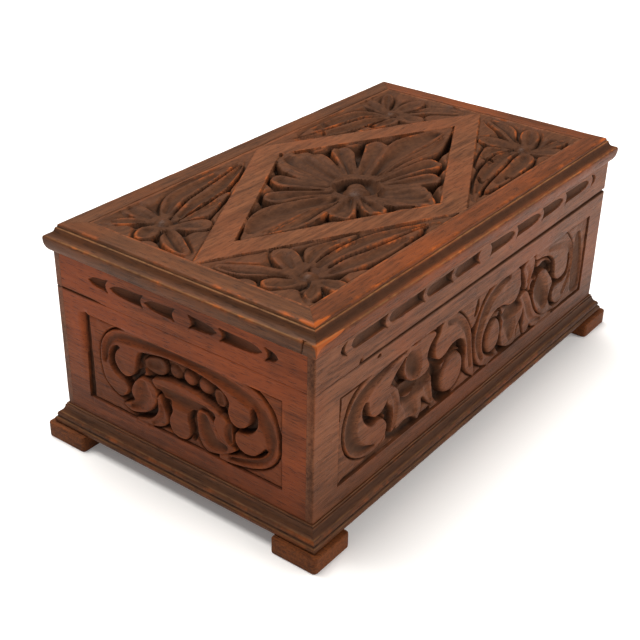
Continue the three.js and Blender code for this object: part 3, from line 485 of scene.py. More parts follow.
# long leaves of the lid flower, each with hollows and veins
LEAVES = [
    ([(-94, -1), (-86, 4.6), (-77, 10.6), (-66, 14), (-55, 13.6), (-42, 8), (-20, 2),
      (-8, 0), (-8, -6), (-20, -8), (-42, -13.4), (-56, -14.6), (-70, -11.6), (-83, -6)],
     [([(-85, 1.4, 2.4), (-71, 5, 7.4), (-54, 4.4, 8), (-36, -0.4, 4.4), (-22, -3, 2)], 2.6),
      ([(-80, -5.6, 1), (-64, -9, 2.8), (-46, -9.2, 2.6), (-26, -6, 1.4)], 1.2)]),
    ([(96, 1), (86, -4.6), (74, -9), (60, -13.4), (44, -11), (14, -7), (0, -6), (0, 0),
      (14, 4), (38, 11), (54, 14.6), (68, 13.4), (82, 8)],
     [([(84, 2.4, 2.6), (70, 5.4, 7.2), (54, 5.4, 7.8), (34, 2, 4.6), (16, -0.6, 2)], 2.6),
      ([(80, -4, 1), (64, -7.8, 2.4), (44, -6.8, 2), (22, -5, 1.2)], 1.2)]),
    ([(1, 50.4), (8.4, 46.4), (14, 39), (15.6, 30), (11, 20), (3, 4), (-4, 0), (-9, 6),
      (-14.6, 18), (-17, 29), (-14.4, 40), (-7.6, 47.4)],
     [([(-0.6, 43, 5), (-1, 33, 10.4), (-2, 22, 8), (-3.4, 11, 4)], 2.9)]),
    ([(-2, -50), (5.4, -44.6), (12.6, -36.6), (16.6, -27), (11, -17), (2, -6), (-6, -4),
      (-11, -10), (-16, -24), (-12.8, -35), (-7.6, -43.6)],
     [([(-1, -42.6, 3.4), (0.6, -33, 9), (0.2, -22, 8), (-3, -12, 3.6)], 2.8)]),
]
VEINS = [
    [(-22, -4.6, 0.7), (-44, -5.6, 0.9), (-64, -5.6, 0.9), (-82, -3.4, 0.5)],
    [(-24, -6.4, 0.6), (-42, -9.4, 0.8), (-58, -10.6, 0.6)],
    [(16, -3, 0.7), (44, -2.6, 0.9), (66, -3.4, 0.9), (86, -1.4, 0.5)],
    [(16, -5, 0.6), (36, -6.4, 0.8), (56, -9, 0.7)],
    [(-1, -12, 0.6), (-6, -26, 0.8), (-6.4, -40, 0.5)],
]
FINGERS = [(-50, 20.5), (-29, 33.5), (30, 32), (50, 20.5), (47, -21), (29, -33),
           (-44, -21.5), (-27, -32.5)]

# corner flowers: p runs along the long edge and q along the short edge from the corner
CORNER_AT = (28.0, 22.0)
CORNER_LOBES = 1.16             # how far the short lobes are spread from the boss
CORNER_LEAVES = [
    ([(26, 19), (19, 15), (11, 12), (6, 6.4), (7, 4.4), (13, 5), (20, 9), (28, 17)],
     [([(22, 15, 1.4), (14, 10, 2.6), (9.4, 7, 1.6)], 1.3)]),
    ([(26, 17), (22, 10), (21.6, 4.4), (25.4, 2.6), (30, 4.6), (31.4, 10), (30, 18)],
     [([(27.6, 14.6, 1.4), (26.4, 9, 3), (26, 5.6, 2)], 1.3)]),
    ([(24, 20), (17, 20), (11, 22.4), (7, 27), (10, 31), (16, 30.4), (22, 26), (26, 24)],
     [([(20, 23, 1.4), (14.4, 25, 2.8), (10.6, 27.4, 2.2)], 1.3)]),
    ([(24, 25), (18, 32), (10, 37), (4.6, 46), (3.6, 57), (8, 58), (13.6, 51), (19, 42),
      (26, 30)],
     [([(21.4, 30, 1.4), (15.4, 38, 3), (9.6, 46.6, 3.4), (6.2, 54.6, 1.6)], 1.7)]),
    ([(26, 26), (25.4, 33), (28, 41), (33, 44), (38, 41), (37.6, 35), (32, 28)],
     [([(29.4, 32, 1.8), (32.4, 38, 3.4)], 1.4)]),
    ([(31, 18), (38, 10), (50, 5), (66, 3.6), (84, 4), (98, 6.4), (80, 10.6), (62, 13.4),
      (46, 17), (34, 21)],
     [([(37, 15.6, 2), (50, 10.6, 3.8), (66, 8.2, 3.6), (84, 6.8, 2)], 1.8)]),
    ([(33, 22), (46, 19.4), (62, 15.6), (80, 12.4), (100, 8), (111, 4.4), (98, 12.6),
      (84, 19.6), (70, 24), (50, 26.4), (36, 26)],
     [([(38, 24, 1.6), (54, 22.4, 3), (72, 19.6, 3.2), (90, 13.6, 2.4), (103, 8.4, 1)], 1.9)]),
    ([(33, 27), (50, 28.8), (66, 26.6), (72, 27.4), (60, 32.6), (50, 35.6), (44, 37),
      (38, 33)],
     [([(38, 30, 1.6), (48, 32, 2.6), (60, 30, 1.6)], 1.4)]),
]
CORNER_VEINS = [[(36, 19.6, 0.6), (54, 16.6, 0.9), (76, 12.4, 0.9), (98, 8, 0.4)],
                [(36, 25.6, 0.6), (52, 25, 0.8), (66, 23.4, 0.6)],
                [(23, 27.6, 0.5), (14, 40, 0.7), (6, 54, 0.4)]]


# ---- carved panels ------------------------------------------------------------------
def ground(relief, pieces, inside, shallow, deep, reach, start, valleys=()):
    """A tooled ground: shallow in the open, cut deep where pieces crowd past `start`."""
    U, V = relief.U, relief.V
    crowd = relief.blurred(reach, pieces)
    near = relief.blurred(0.5, pieces)
    depth = shallow + (deep - shallow) * smooth_step((crowd - start) / 0.34)
    depth = depth + 0.7 * smooth_step(near * 2.6) + 1.1 * np.clip(1 - inside / 1.1, 0, 1)
    for path, floor in valleys:
        q = stroke(U, V, path)
        depth = np.maximum(depth, floor * smooth_step((1.35 - q) / 0.6))
    return depth + 0.16 * noise(U, V, 5, 11, 2) + 0.09 * noise(U, V, 1.7, 12)


def egg(relief, u, v, ru, rv, top=-0.2):
    """A round or oval disc with a rolled edge."""
    turn = np.arange(28) * 2 * math.pi / 28
    outline = np.stack([u + ru * np.cos(turn), v + rv * np.sin(turn)], 1)
    relief.leaf(outline, top=top, edge=min(ru * (0.4 if top > -1 else 0.9), 3.0), steps=1)


def carve_side(relief, recess, carving, eggs, valleys, tint, seed):
    """Sinks the panel and leaves the design standing in it."""
    face, U, V = relief.H, relief.U, relief.V
    u0, u1, v0, v1 = recess
    inside = np.minimum(np.minimum(U - u0, u1 - U), np.minimum(V - v0, v1 - V))
    relief.H = np.full(face.shape, BURIED)
    for outline, hollows, *top in carving:
        relief.leaf(outline, top=top[0] if top else -0.25, hollows=hollows)
    for e in eggs:
        egg(relief, *e)
    pieces = np.clip(relief.H + 3.4, 0, 1)
    depth = ground(relief, pieces, inside, shallow=0.85, deep=4.4, reach=3.4, start=0.3,
                   valleys=valleys)
    tool = 0.1 * noise(U, V, 4, seed, 2)
    design = np.maximum(np.minimum(relief.H + tool, -0.05), -depth)
    wall = -np.maximum(inside, 0) * 9
    relief.H = np.where(inside > 0.01, np.maximum(design, wall), face)
    relief.stain = np.where(inside > 0.01, tint, 0.0)


def scoop(relief, tip, deep, v0, v1, slim):
    """A scale-like gouge, shallow at its tip and stabbed with two horns at the other end.

    slim is the length of its pointed nose, as a share of half its height.
    """
    s = math.copysign(1, deep - tip)
    mid, h, span = (v0 + v1) / 2, (v1 - v0) / 2, abs(deep - tip)
    nose = min(h * slim, span * 0.7)
    upper = [(nose * 0.3, 0.66), (nose * 0.62, 0.9), (nose, 1.0), (span - 2.4, 1.06),
             (span + 0.5, 1.3), (span - 1.1, 0.8), (span - 1.9, 0.4)]
    lower = [(a, -1.14 * b if a > span - 2 else -b) for a, b in reversed(upper)]
    rows = [(0, 0)] + upper + [(span - 2.2, 0)] + lower
    poly = np.array([(tip + s * a, mid + h * b) for a, b in rows])

    def run(U):
        return np.clip(np.abs(U - tip) / span, 0, 1)

    def depth(U, V):
        bowl = 1 - 0.4 * np.clip((V - mid) / h, -1, 1) ** 2
        return (0.5 + (CUT_DEPTH - 0.5) * run(U)**0.8) * bowl

    # stain in the cut, with painted shade that grows towards the deep end
    def tint(U, V):
        return 0.95 + 0.05 * run(U)
    relief.cut(poly, depth, tint, steep=2.6)


def soften(relief, top, ends, shut):
    """Wears the arrises of a board's face; shut(u) is 1 where the lid seam stays tight."""
    U, V, us, vs = relief.U, relief.V, relief.us, relief.vs
    wobble = 0.7 * (1 + 0.35 * noise(U, V, 14, 21, 2))
    tight = shut(U) if shut else 0 * U
    seam = vs[-1] - V if top else V - vs[0]
    # painted shade along the seam where the warped lid stands open
    relief.stain = np.maximum(relief.stain, (1 - tight) * np.clip(1.6 - seam / 0.7, 0, 1))
    sides = [(seam, wobble * (1 - 0.8 * tight))]
    if ends:
        sides.append((np.minimum(U - us[0], us[-1] - U), wobble))
    for reach, size in sides:
        t = np.clip(reach / size, 0, 1)
        relief.H -= size * (1 - np.sqrt(1 - (1 - t) ** 2)) * 0.9


# ---- boards -------------------------------------------------------------------------
# where the warped lid still sits tight on the body
SHUT = {"front": lambda u: smooth_step((-105.4 - u) / 1.2),
        "left": lambda u: smooth_step((u + 56) / 10)}
SHUT_DROP = 0.24                # how far the tight part closes the seam
TOOL_SEEDS = {"front": 41, "back": 43, "left": 45, "right": 47}


def lid_gap(face, u):
    """How far the warped lid's lower edge stands off its CAD height."""
    rise = {"front": (u + HALF_L) / (2 * HALF_L), "right": (HALF_W - u) / (2 * HALF_W)}
    drop = SHUT_DROP * SHUT[face](u) if face in SHUT else 0.0
    return LID_WARP * rise.get(face, 0.0) - drop


def rear(is_long):
    """Moves that carry a board's border back; the long boards lap over the short ones."""
    inner = HALF_L - WALL

    def clip(u):
        return max(-inner, min(inner, u))
    if is_long:
        return [lambda u, v, w: (u, v, -LIP), lambda u, v, w: (clip(u), v, -LIP),
                lambda u, v, w: (clip(u), v, -WALL)]
    return [lambda u, v, w: (u, v, -WALL)]


def carve_body(relief, face, is_long):
    seed = TOOL_SEEDS[face]
    if is_long:
        carve_side(relief, FRONT_RECESS, FRONT_CARVING, FRONT_EGGS, FRONT_VALLEYS, 0.16, seed)
    else:
        carve_side(relief, END_RECESS, END_CARVING, END_EGGS, END_VALLEYS, 0.42, seed)
        relief.groove([(-61.2, 78.4, 2.4), (-60.8, 55, 2.2), (-60.6, 32.6, 1.8)], 1.5)
    if face == "front":
        # a dent below the seam
        relief.groove([(-92.2, 86.3, 0.6), (-91.2, 86.5, 0.9), (-90.6, 86.4, 0.6)], 2.8)


def carve_lid(relief, face, is_long):
    for tip, deep in FRONT_CUTS if is_long else END_CUTS:
        if is_long:
            scoop(relief, tip, deep, 99.6, 105.8, slim=1.4 if deep > tip else 3.4)
        else:
            scoop(relief, tip, deep, 97.4, 103.4, slim=3.6)
    if face == "front":
        # a nick where the seam opens
        relief.groove([(-106.6, 89.6, 0.9), (-105.8, 90.8, 1.1)], 1.8)


def boards(part, carve, long_grid, short_grid):
    """The four boards of the body or of the lid."""
    is_lid = part == "lid"
    for face in ("front", "back", "left", "right"):
        is_long = face in ("front", "back")
        r = Relief(*(long_grid if is_long else short_grid))
        r.H += 0.05 * noise(r.U, r.V, 22, 31, 2)    # planed by hand, so never quite flat
        carve(r, face, is_long)
        soften(r, not is_lid, is_long, SHUT.get(face))
        obj = board(f"{'lid_' if is_lid else ''}board_{face}", face, r, rear(is_long),
                    lid_gap(face, r.U) if is_lid else 0.0)
        done(obj, "lid" if is_lid else "box", f"{part}_{face}",
             f"{'long' if is_long else 'short'}_{face}")


def all_boards():
    fine, half = 0.46, HALF_W - LIP - CLEAR
    top = (87.6, BODY_TOP, 0.3)
    boards("body", carve_body,
           (axis_points((-140, -138, 0.4), (-138, -121.5, 2.2), (-121.5, 124, fine),
                        (124, 138, 2.2), (138, 140, 0.4)),
            axis_points((FOOT_H, 30, 2.5), (30, 79, fine), (79, 84.7, 1.4), (84.7, 87.6, 0.4),
                        top)),
           (axis_points((-half, -62.5, 2.2), (-62.5, 62.5, fine), (62.5, half, 2.2)),
            axis_points((FOOT_H, 31, 2.5), (31, 80, fine), (80, 87.6, 1.4), top)))
    low = BODY_TOP + LID_GAP
    vs = axis_points((low, low + 1.2, 0.3), (low + 1.2, 96.4, 1.5), (96.4, 106.8, 0.4),
                     (106.8, LID_FRAME_TOP, 0.7))
    boards("lid", carve_lid,
           (axis_points((-140, -138, 0.4), (-138, 138, 0.5), (138, 140, 0.4)), vs),
           (axis_points((-half, half, 0.5)), vs))


# ---- lid panel ----------------------------------------------------------------------
BUD = (FLOWER[0] - 1.8, FLOWER[1] - 1.6, 7.8)       # place and radius of the flower's bud
SIDES = ((-1, -1), (-1, 1), (1, -1), (1, 1))        # signs of x and y at the four corners


def flower_top(U, V):
    r = np.hypot(U - FLOWER[0], V - FLOWER[1])
    return -0.5 - (FLOWER_DEPTH - 1.8) * (1 - np.clip(r / 42, 0, 1)) ** 1.25


def finger(x, y):
    """A short petal with its hollow, running out to (x, y)."""
    cx, cy = FLOWER
    d = math.hypot(x - cx, y - cy)
    ax, ay = (x - cx) / d, (y - cy) / d
    rows = [(d + 1, 0), (d - 0.8, 4.4), (d - 5.5, 6.3), (d - 14, 5.4), (9, 2.6), (9, -2.6),
            (d - 14, -5.4), (d - 5.5, -6.3), (d - 0.8, -4.4)]
    outline = [(cx + ax * s - ay * w, cy + ay * s + ax * w) for s, w in rows]
    channel = [(cx + ax * s, cy + ay * s, w) for s, w in
               ((13, 1.2), (d - 20, 3.2), (d - 8, 4.9), (d - 4.6, 3.9))]
    return outline, [(channel, 1.9)]


def dome(relief, x, y, r, top, squash):
    """A flattened boss standing up to `top`."""
    at = relief.window([(x, y)], r + 1)
    q = np.hypot(relief.U[at] - x, relief.V[at] - y) / r
    h = top - r * squash * (1 - np.sqrt(np.clip(1 - q * q, 0, 1)))
    relief.H[at] = np.where(q < 1, np.maximum(relief.H[at], h), relief.H[at])


def flower(relief):
    fingers = [finger(x, y) for x, y in FINGERS]
    for outline, hollows in LEAVES + fingers:
        relief.leaf(outline, top=flower_top, edge=0.5, hollows=hollows)
    for vein in VEINS:
        relief.groove(vein, 0.9)
    cx, cy = FLOWER
    # fine flutes running out from the middle
    turn = np.arctan2(relief.V - cy, relief.U - cx)
    out = np.hypot(relief.U - cx, relief.V - cy)
    flute = 0.5 + 0.5 * np.cos(turn * 38 + 1.6 * noise(relief.U, relief.V, 16, 51))
    relief.H -= 0.8 * flute**2 * smooth_step((out - 13) / 8) * smooth_step((84 - out) / 40)
    # sunk dish with a raised ring, a bud in it and a petal curled over its far side
    dish = -7.3 + 3.2 * smooth_step((out - 8.6) / 4.6)
    relief.H = np.where(out < 13.2, dish, relief.H) + np.exp(-((out - 13.4) / 1.1) ** 2)
    relief.leaf([(cx - 5, cy + 13.4), (cx + 3, cy + 15), (cx + 11, cy + 12), (cx + 15, cy + 5),
                 (cx + 14, cy - 1), (cx + 10.6, cy), (cx + 9, cy + 5.6), (cx + 4, cy + 9),
                 (cx - 3, cy + 10)], top=-2.6, edge=1.4, steep=4,
                hollows=[([(cx, cy + 12.4, 1.6), (cx + 8, cy + 9.4, 2.2),
                           (cx + 12, cy + 2, 1.4)], 0.9)])
    relief.groove([(cx - 5, cy + 7.4, 1.6), (cx + 2, cy + 7.6, 2.4), (cx + 7.6, cy + 3, 1.6)], 1.6)
    dome(relief, cx + 3.4, cy + 2.4, 5.4, -4.0, 0.7)
    dome(relief, *BUD, -3.5, 0.62)


def corner_flower(relief, sx, sy, rng):
    p0, q0 = CORNER_AT

    def at(p, q):
        return sx * (PANEL_HL - p), sy * (PANEL_HW - q)
    cx, cy = at(p0, q0)

    def spread(p, q, k):
        return at(p0 + k * (p - p0), q0 + k * (q - q0))

    def top(U, V):
        t = np.clip(np.hypot(U - cx, V - cy) / 24, 0, 1)
        return -0.5 - 4.4 * (1 - t) ** 1.3
    for outline, hollows in CORNER_LEAVES:
        jitter = rng.uniform(-0.45, 0.45, (len(outline), 2))
        away = max(math.hypot(p - p0, q - q0) for p, q in outline)
        k = CORNER_LOBES if away < 26 else 1.0
        pts = [spread(p + j[0], q + j[1], k) for (p, q), j in zip(outline, jitter)]
        paths = [([(*spread(p, q, k), w * k) for p, q, w in path], depth)
                 for path, depth in hollows]
        relief.leaf(pts, top=top, hollows=paths)
    for vein in CORNER_VEINS:
        relief.groove([(*at(p, q), w) for p, q, w in vein], 0.8)
    if sx > 0:
        # thumbprint cuts
        for p, q in ((60, 27.5), (86, 16), (74, 5.4)):
            path = [(p - 3, q + 2.6, 0.8), (p - 0.2, q, 2.0), (p - 1.6, q - 3, 0.8)]
            relief.groove([(*at(a, b), w) for a, b, w in path], 3.4)
    dome(relief, cx, cy, 5.4, -1.7, 0.95)


def lid_panel():
    r = Relief(axis_points((-PANEL_HL, PANEL_HL, 0.6)), axis_points((-PANEL_HW, PANEL_HW, 0.6)))
    U, V = r.U, r.V
    k = math.hypot(1 / PANEL_HL, 1 / PANEL_HW)

    def inward():
        """Distance inwards from the outer edge of the flat diamond band."""
        return (1 - np.abs(U) / PANEL_HL - np.abs(V) / PANEL_HW) / k
    nu, nv = np.sign(U) / PANEL_HL / k, np.sign(V) / PANEL_HW / k
    for line in (0, BAND):
        off = inward() - line
        r.snap(ALL, off, U + off * nu, V + off * nv)
    rim = np.minimum(PANEL_HL - np.abs(U), PANEL_HW - np.abs(V))
    inner = inward() - BAND
    outer = np.minimum(-inward(), rim - 1.2)
    r.H = np.full(U.shape, BURIED)
    flower(r)
    rose, r.H = r.H, np.full(U.shape, BURIED)
    rng = np.random.default_rng(77)
    for sx, sy in SIDES:
        corner_flower(r, sx, sy, rng)
    corners, r.H = r.H, 0.05 * noise(U, V, 24, 9, 2)
    tool = 0.1 * noise(U, V, 4, 15, 2)
    # the corner pockets run out to nothing along the back and right of the rim
    rise = smooth_step(np.minimum(PANEL_HW - V, PANEL_HL - U) / 12)
    for edge, design, deep, start, fade in ((inner, rose, 7.6, 0.16, 1.0),
                                            (outer, corners, 4.4, 0.36, 0.2 + 0.8 * rise)):
        pieces = np.clip((design + 9) / 1.4, 0, 1)
        depth = ground(r, pieces, edge, shallow=0.8, deep=deep, reach=5, start=start) * fade
        carved = np.maximum(np.minimum(design + tool, -0.1), -depth)
        r.H = np.where(edge > 0.01, np.maximum(carved, -edge * 9), r.H)
        r.stain = np.where(edge > 0.01, 0.72, r.stain)
    r.groove([(56, 42.6, 1.0), (57.4, 42.2, 1.0)], 1.4)
    out = TONGUE_TOP - PANEL_TOP
    low = LID_FRAME_TOP - PANEL_TOP + CLEAR
    grow = TONGUE - CLEAR

    def widen(u, v):
        return (u + math.copysign(grow, u) * (abs(u) > PANEL_HL - 0.01),
                v + math.copysign(grow, v) * (abs(v) > PANEL_HW - 0.01))
    loops = [lambda u, v, w: (u, v, out), lambda u, v, w: (*widen(u, v), out),
             lambda u, v, w: (*widen(u, v), low)]
    obj = board("carved_lid_panel", "top", r, loops)
    bosses = [BUD] + [(sx * (PANEL_HL - CORNER_AT[0]), sy * (PANEL_HW - CORNER_AT[1]), 5.2)
                      for sx, sy in SIDES]
    polish = np.zeros(U.shape)
    for x, y, size in bosses:
        polish = np.maximum(polish, smooth_step((0.95 - np.hypot(U - x, V - y) / size) / 0.3))
    store(obj, polish=polish.ravel())
    done(obj, "lid", "lid_panel", "panel")


# ---- mouldings ----------------------------------------------------------------------
# profiles: (offset outward from the body face, z, wear), smooth through their points
BASE_PROFILE = [
    [(CLEAR, FOOT_H, 0), (4.9, FOOT_H, 0)],
    [(5.3, 8.95, 0.1), (5.7, 9.6, 0.4), (5.75, 10.5, 0.5), (5.4, 11.3, 0.3), (4.9, 11.75, 0)],
    [(4.55, 12.1, 0), (4.5, 12.4, 0)],
    [(4.65, 12.9, 0.3), (4.55, 13.7, 0.7), (4.1, 14.5, 0.6), (3.5, 15.0, 0.2),
     (2.7, 15.6, 0), (2.0, 16.5, 0), (1.55, 17.6, 0), (1.4, 18.5, 0.2)],
    [(1.35, 18.75, 0.4), (1.1, 18.9, 0.2), (0.85, 18.95, 0)],
    [(0.8, 19.0, 0), (0.78, 19.6, 0.2), (0.65, 19.9, 0.4), (0.4, 20.0, 0.2), (CLEAR, 20.0, 0)],
]
RIM_IN = PANEL_HL - HALF_L + 2 * CLEAR      # the rim's inner edge, beside the panel
NOSE_TOP = 116.6                # upper edge of the rim's nosing
RIM_PROFILE = [
    [(RIM_IN + TONGUE, LID_FRAME_TOP, 0), (0.5, LID_FRAME_TOP, 0)],
    [(1.1, 108.6, 0), (1.9, 109.5, 0), (2.6, 111.0, 0), (3.0, 112.6, 0.1), (3.18, 114.2, 0.2),
     (3.15, 115.4, 0.5), (2.9, 116.1, 0.9), (2.5, 116.5, 0.9), (2.0, 116.66, 0.3)],
    [(1.0, 116.95, 0), (0.1, 117.5, 0), (-0.6, 118.3, 0), (-1.05, 119.3, 0), (-1.3, 120.2, 0.2)],
    [(-1.4, 120.4, 0.7), (-1.7, 120.5, 0.4), (-2.05, 120.5, 0)],
    [(-2.15, 120.6, 0), (-2.2, 121.3, 0.2), (-2.4, 121.9, 0.9), (-2.9, 122.25, 1),
     (-3.6, 122.38, 0.6), (-4.6, LID_TOP, 0)],
    [(RIM_IN + 0.7, LID_TOP, 0), (RIM_IN + 0.2, 122.25, 0.2), (RIM_IN, 121.8, 0)],
    [(RIM_IN, TONGUE_TOP + CLEAR, 0)],
    [(RIM_IN + TONGUE, TONGUE_TOP + CLEAR, 0)],
]


def moulding(name, face, profile, half, seed, lines, glint, cove, dim, patches=(), crack=None):
    """A mitred strip swept along one side, slightly uneven like scraped work.

    lines are the heights of arrises painted with a pale highlight line of strength glint. cove
    is the span of height where the stain stays dark, by dim. Each of the patches adds wear.
    crack is the place of a check across the nosing.
    """
    rows = []
    for part in profile:
        rows += list(spline(part, False, 3)) if len(part) > 2 else [np.array(p) for p in part]
    prof = np.array(rows)
    ts = np.linspace(-1, 1, int(2 * half / 2.2) + 1)
    if crack is not None:
        ts = np.sort(np.append(ts, (crack + np.array((-0.5, -0.2, 0, 0.2, 0.5))) / half))
    o, z, wear = prof[:, 0], prof[:, 1], prof[:, 2]
    T, O = np.meshgrid(ts, o, indexing="ij")
    Z = np.broadcast_to(z, T.shape)
    S = T * (half + O - CLEAR)
    # faces that touch the boards or the panel stay flat
    live = (Z < LID_TOP - 0.01) & (Z > profile[0][0][1] + 0.1) & ((O > 0.5) | (Z > 119))
    uneven = 0.09 * noise(S, Z * 3 + O * 2, 16, seed, 3) * live * (1 - T**40)
    bare = np.broadcast_to(wear, T.shape) * (0.5 + 0.5 * noise(S, Z, 9, seed + 1, 3))
    for patch in patches:
        bare = bare + patch(S, Z, O)
    chip = 0.3 * np.clip(bare - 0.55, 0, 1) * live
    if crack is not None:
        off = np.abs(T * half - crack - 0.12 * (Z - 112))
        chip = chip + 1.2 * np.clip(1 - off / 0.45, 0, 1) * live * (Z < NOSE_TOP)
    height = np.minimum(Z - chip * 0.35 + uneven * 0.5, LID_TOP)
    co = np.stack([S, height, O - chip + uneven], 2)
    n, m = T.shape
    idx = np.arange(n * m).reshape(n, m)
    nxt = np.roll(idx, -1, 1)
    faces = np.stack([idx[:-1], idx[1:], nxt[1:], nxt[:-1]], 2).reshape(-1, 4).tolist()
    faces += [idx[0].tolist(), idx[-1][::-1].tolist()]
    obj = mesh_object(name, co.reshape(-1, 3), faces, FACES[face])
    flip(obj)
    # deep: dirt and painted shade in the profile's inner corners and chips
    deep = crease(prof) + np.clip(chip - 0.35, 0, 1) * 2
    # painted highlight lines along the arrises
    pale = sum(np.exp(-((Z - line) / 0.2) ** 2) for line in lines) * live
    pale = pale * (0.65 + 0.35 * noise(S, Z, 11, seed + 5, 2))
    dark = smooth_step((Z - cove[0]) / 0.4) * smooth_step((cove[1] - Z) / 0.4)
    store(obj, wear=np.clip(bare, 0, 1).ravel(), deep=np.clip(deep, 0, 1).ravel(),
          sunk=dim * dark.ravel(), pale=np.clip(pale * glint, 0, 1).ravel())
    finish_mesh(obj, 50)
    return obj


def crease(prof):
    """1 in the inner corners of a profile, where dirt gathers and painted shade falls."""
    a, b, c = np.roll(prof, 2, 0)[:, :2], prof[:, :2], np.roll(prof, -2, 0)[:, :2]
    turn = (b - a)[:, 0] * (c - b)[:, 1] - (b - a)[:, 1] * (c - b)[:, 0]
    size = np.linalg.norm(b - a, axis=1) * np.linalg.norm(c - b, axis=1) + 1e-6
    return np.clip(-turn / size * 1.4, 0, 1)


def flip(obj):
    """Turns the faces outward if the piece came out inside out."""
    bm = bmesh.new()
    bm.from_mesh(obj.data)
    if bm.calc_volume(signed=True) < 0:
        bmesh.ops.reverse_faces(bm, faces=bm.faces)
    bm.to_mesh(obj.data)
    bm.free()


def corner_patch(sign, centre, reach, low, high, amount):
    """Finish rubbed off near one corner."""
    def patch(S, Z, O):
        near = np.clip(1 - np.abs(S * sign - centre) / reach, 0, 1)
        band = smooth_step((Z - low) / 0.5) * smooth_step((high - Z) / 0.5) * (O > -4.5)
        return amount * near**0.5 * band
    return patch


def mouldings():
    left_end, left_tip = HALF_L + 3, HALF_W + 3
    rubbed = {"front": [corner_patch(-1, left_end, 32, 114.6, 116.9, 0.8),
                        corner_patch(-1, left_end, 7, 108.6, 117.0, 0.9),
                        corner_patch(-1, HALF_L, 16, 121.0, 122.6, 0.8)],
              "left": [corner_patch(1, left_tip, 3, 108.6, 117.0, 1.2),
                       corner_patch(1, HALF_W, 12, 121.0, 122.6, 0.8)]}
    for face, half, seed in (("front", HALF_L, 60), ("back", HALF_L, 62),
                             ("left", HALF_W, 64), ("right", HALF_W, 66)):
        dim = 0.4 if face in ("left", "back") else 1.0
        obj = moulding(f"plinth_{face}", face, BASE_PROFILE, half, seed,
                       lines=(11.5, 14.9, 19.95), glint=0.55, cove=(15.4, 18.4), dim=0.6 * dim)
        done(obj, "box", f"base_moulding_{face}", f"plinth_{face}")
        obj = moulding(f"rim_{face}", face, RIM_PROFILE, half, seed + 1,
                       lines=(116.35, 120.45), glint=0.9, cove=(116.75, 120.2), dim=dim,
                       patches=rubbed.get(face, ()), crack=72.6 if face == "left" else None)
        done(obj, "lid", f"lid_rim_{face}", f"rim_{face}")


# ---- feet ---------------------------------------------------------------------------
def feet():
    height = FOOT_H - CLEAR
    for ends, sy in (("front", -1), ("back", 1)):
        for side, sx in (("left", -1), ("right", 1)):
            bm = bmesh.new()
            bmesh.ops.create_cube(bm, size=1)
            for v in bm.verts:
                v.co = Vector((v.co.x * FOOT, v.co.y * FOOT, v.co.z * height))
            # first the upright edges, then the level ones
            for offset, segments, upright in ((2.0, 5, True), (0.7, 3, False)):
                edges = [e for e in bm.edges
                         if (abs(e.verts[0].co.z - e.verts[1].co.z) > 1) == upright]
                bmesh.ops.bevel(bm, geom=edges, offset=offset, segments=segments, profile=0.5,
                                affect="EDGES")
            mesh = bpy.data.meshes.new(f"block_foot_{ends}_{side}")
            bm.to_mesh(mesh)
            bm.free()
            x, y = sx * (HALF_L + FOOT_OUT - FOOT / 2), sy * (HALF_W + FOOT_OUT - FOOT / 2)
            mesh.transform(Matrix.Translation((x, y, height / 2)))
            mesh.transform(Matrix.Scale(MM, 4))
            obj = add_object(mesh.name, mesh)
            finish_mesh(obj, 40)
            done(obj, "box", f"foot_{ends}_{side}", "foot")


# ---- lining -------------------------------------------------------------------------
def pad(node, body, axis, side):
    """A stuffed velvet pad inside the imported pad's box, crowned towards `side` of `axis`."""
    low, high = (np.array(c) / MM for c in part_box(node))
    a, b = [k for k in range(3) if k != axis]
    thick = high[axis] - low[axis]
    U, V = np.meshgrid(axis_points((low[a], high[a], 2.0)), axis_points((low[b], high[b], 2.0)),
                       indexing="ij")
    inset = np.minimum(np.minimum(U - low[a], high[a] - U), np.minimum(V - low[b], high[b] - V))
    swell = 1 - (1 - np.clip(inset / 11, 0, 1)) ** 2.4
    span = 1 - ((2 * U - low[a] - high[a]) / (high[a] - low[a])) ** 4
    span = span * (1 - ((2 * V - low[b] - high[b]) / (high[b] - low[b])) ** 4)
    pucker = noise(U, V, 7, 91, 2) * np.exp(-inset / 7) + 0.3 * noise(U, V, 18, 92, 2)
    height = thick * np.clip(0.3 + 0.55 * swell + 0.1 * span + 0.05 * pucker, 0.2, 0.995)
    # the sides pull in between the corners
    draw = 0.5 * (1 - swell)
    U = U + draw * np.sign((low[a] + high[a]) / 2 - U) * span
    V = V + draw * np.sign((low[b] + high[b]) / 2 - V) * span
    co = np.zeros((2, *U.shape, 3))
    co[..., a], co[..., b] = U, V
    base = low[axis] if side > 0 else high[axis]
    co[0, ..., axis] = base + side * height
    co[1, ..., axis] = base
    n, m = U.shape
    idx = np.arange(2 * n * m).reshape(2, n, m)
    faces = quads(idx[0]).tolist() + quads(idx[1])[:, ::-1].tolist()
    ring = boundary(n, m)
    for (i, j), (p, q) in zip(ring, ring[1:] + ring[:1]):
        faces.append([int(idx[0, i, j]), int(idx[1, i, j]), int(idx[1, p, q]), int(idx[0, p, q])])
    obj = mesh_object(node.replace("lining", "velvet_pad"), co.reshape(-1, 3), faces)
    flip(obj)
    obj.data.shade_smooth()
    done(obj, body, node, "velvet")


def lining():
    for part, axis, side in (("floor", 2, 1), ("front", 1, 1), ("back", 1, -1), ("left", 0, 1),
                             ("right", 0, -1), ("lid", 2, -1)):
        pad(f"lining_{part}", "lid" if part == "lid" else "box", axis, side)


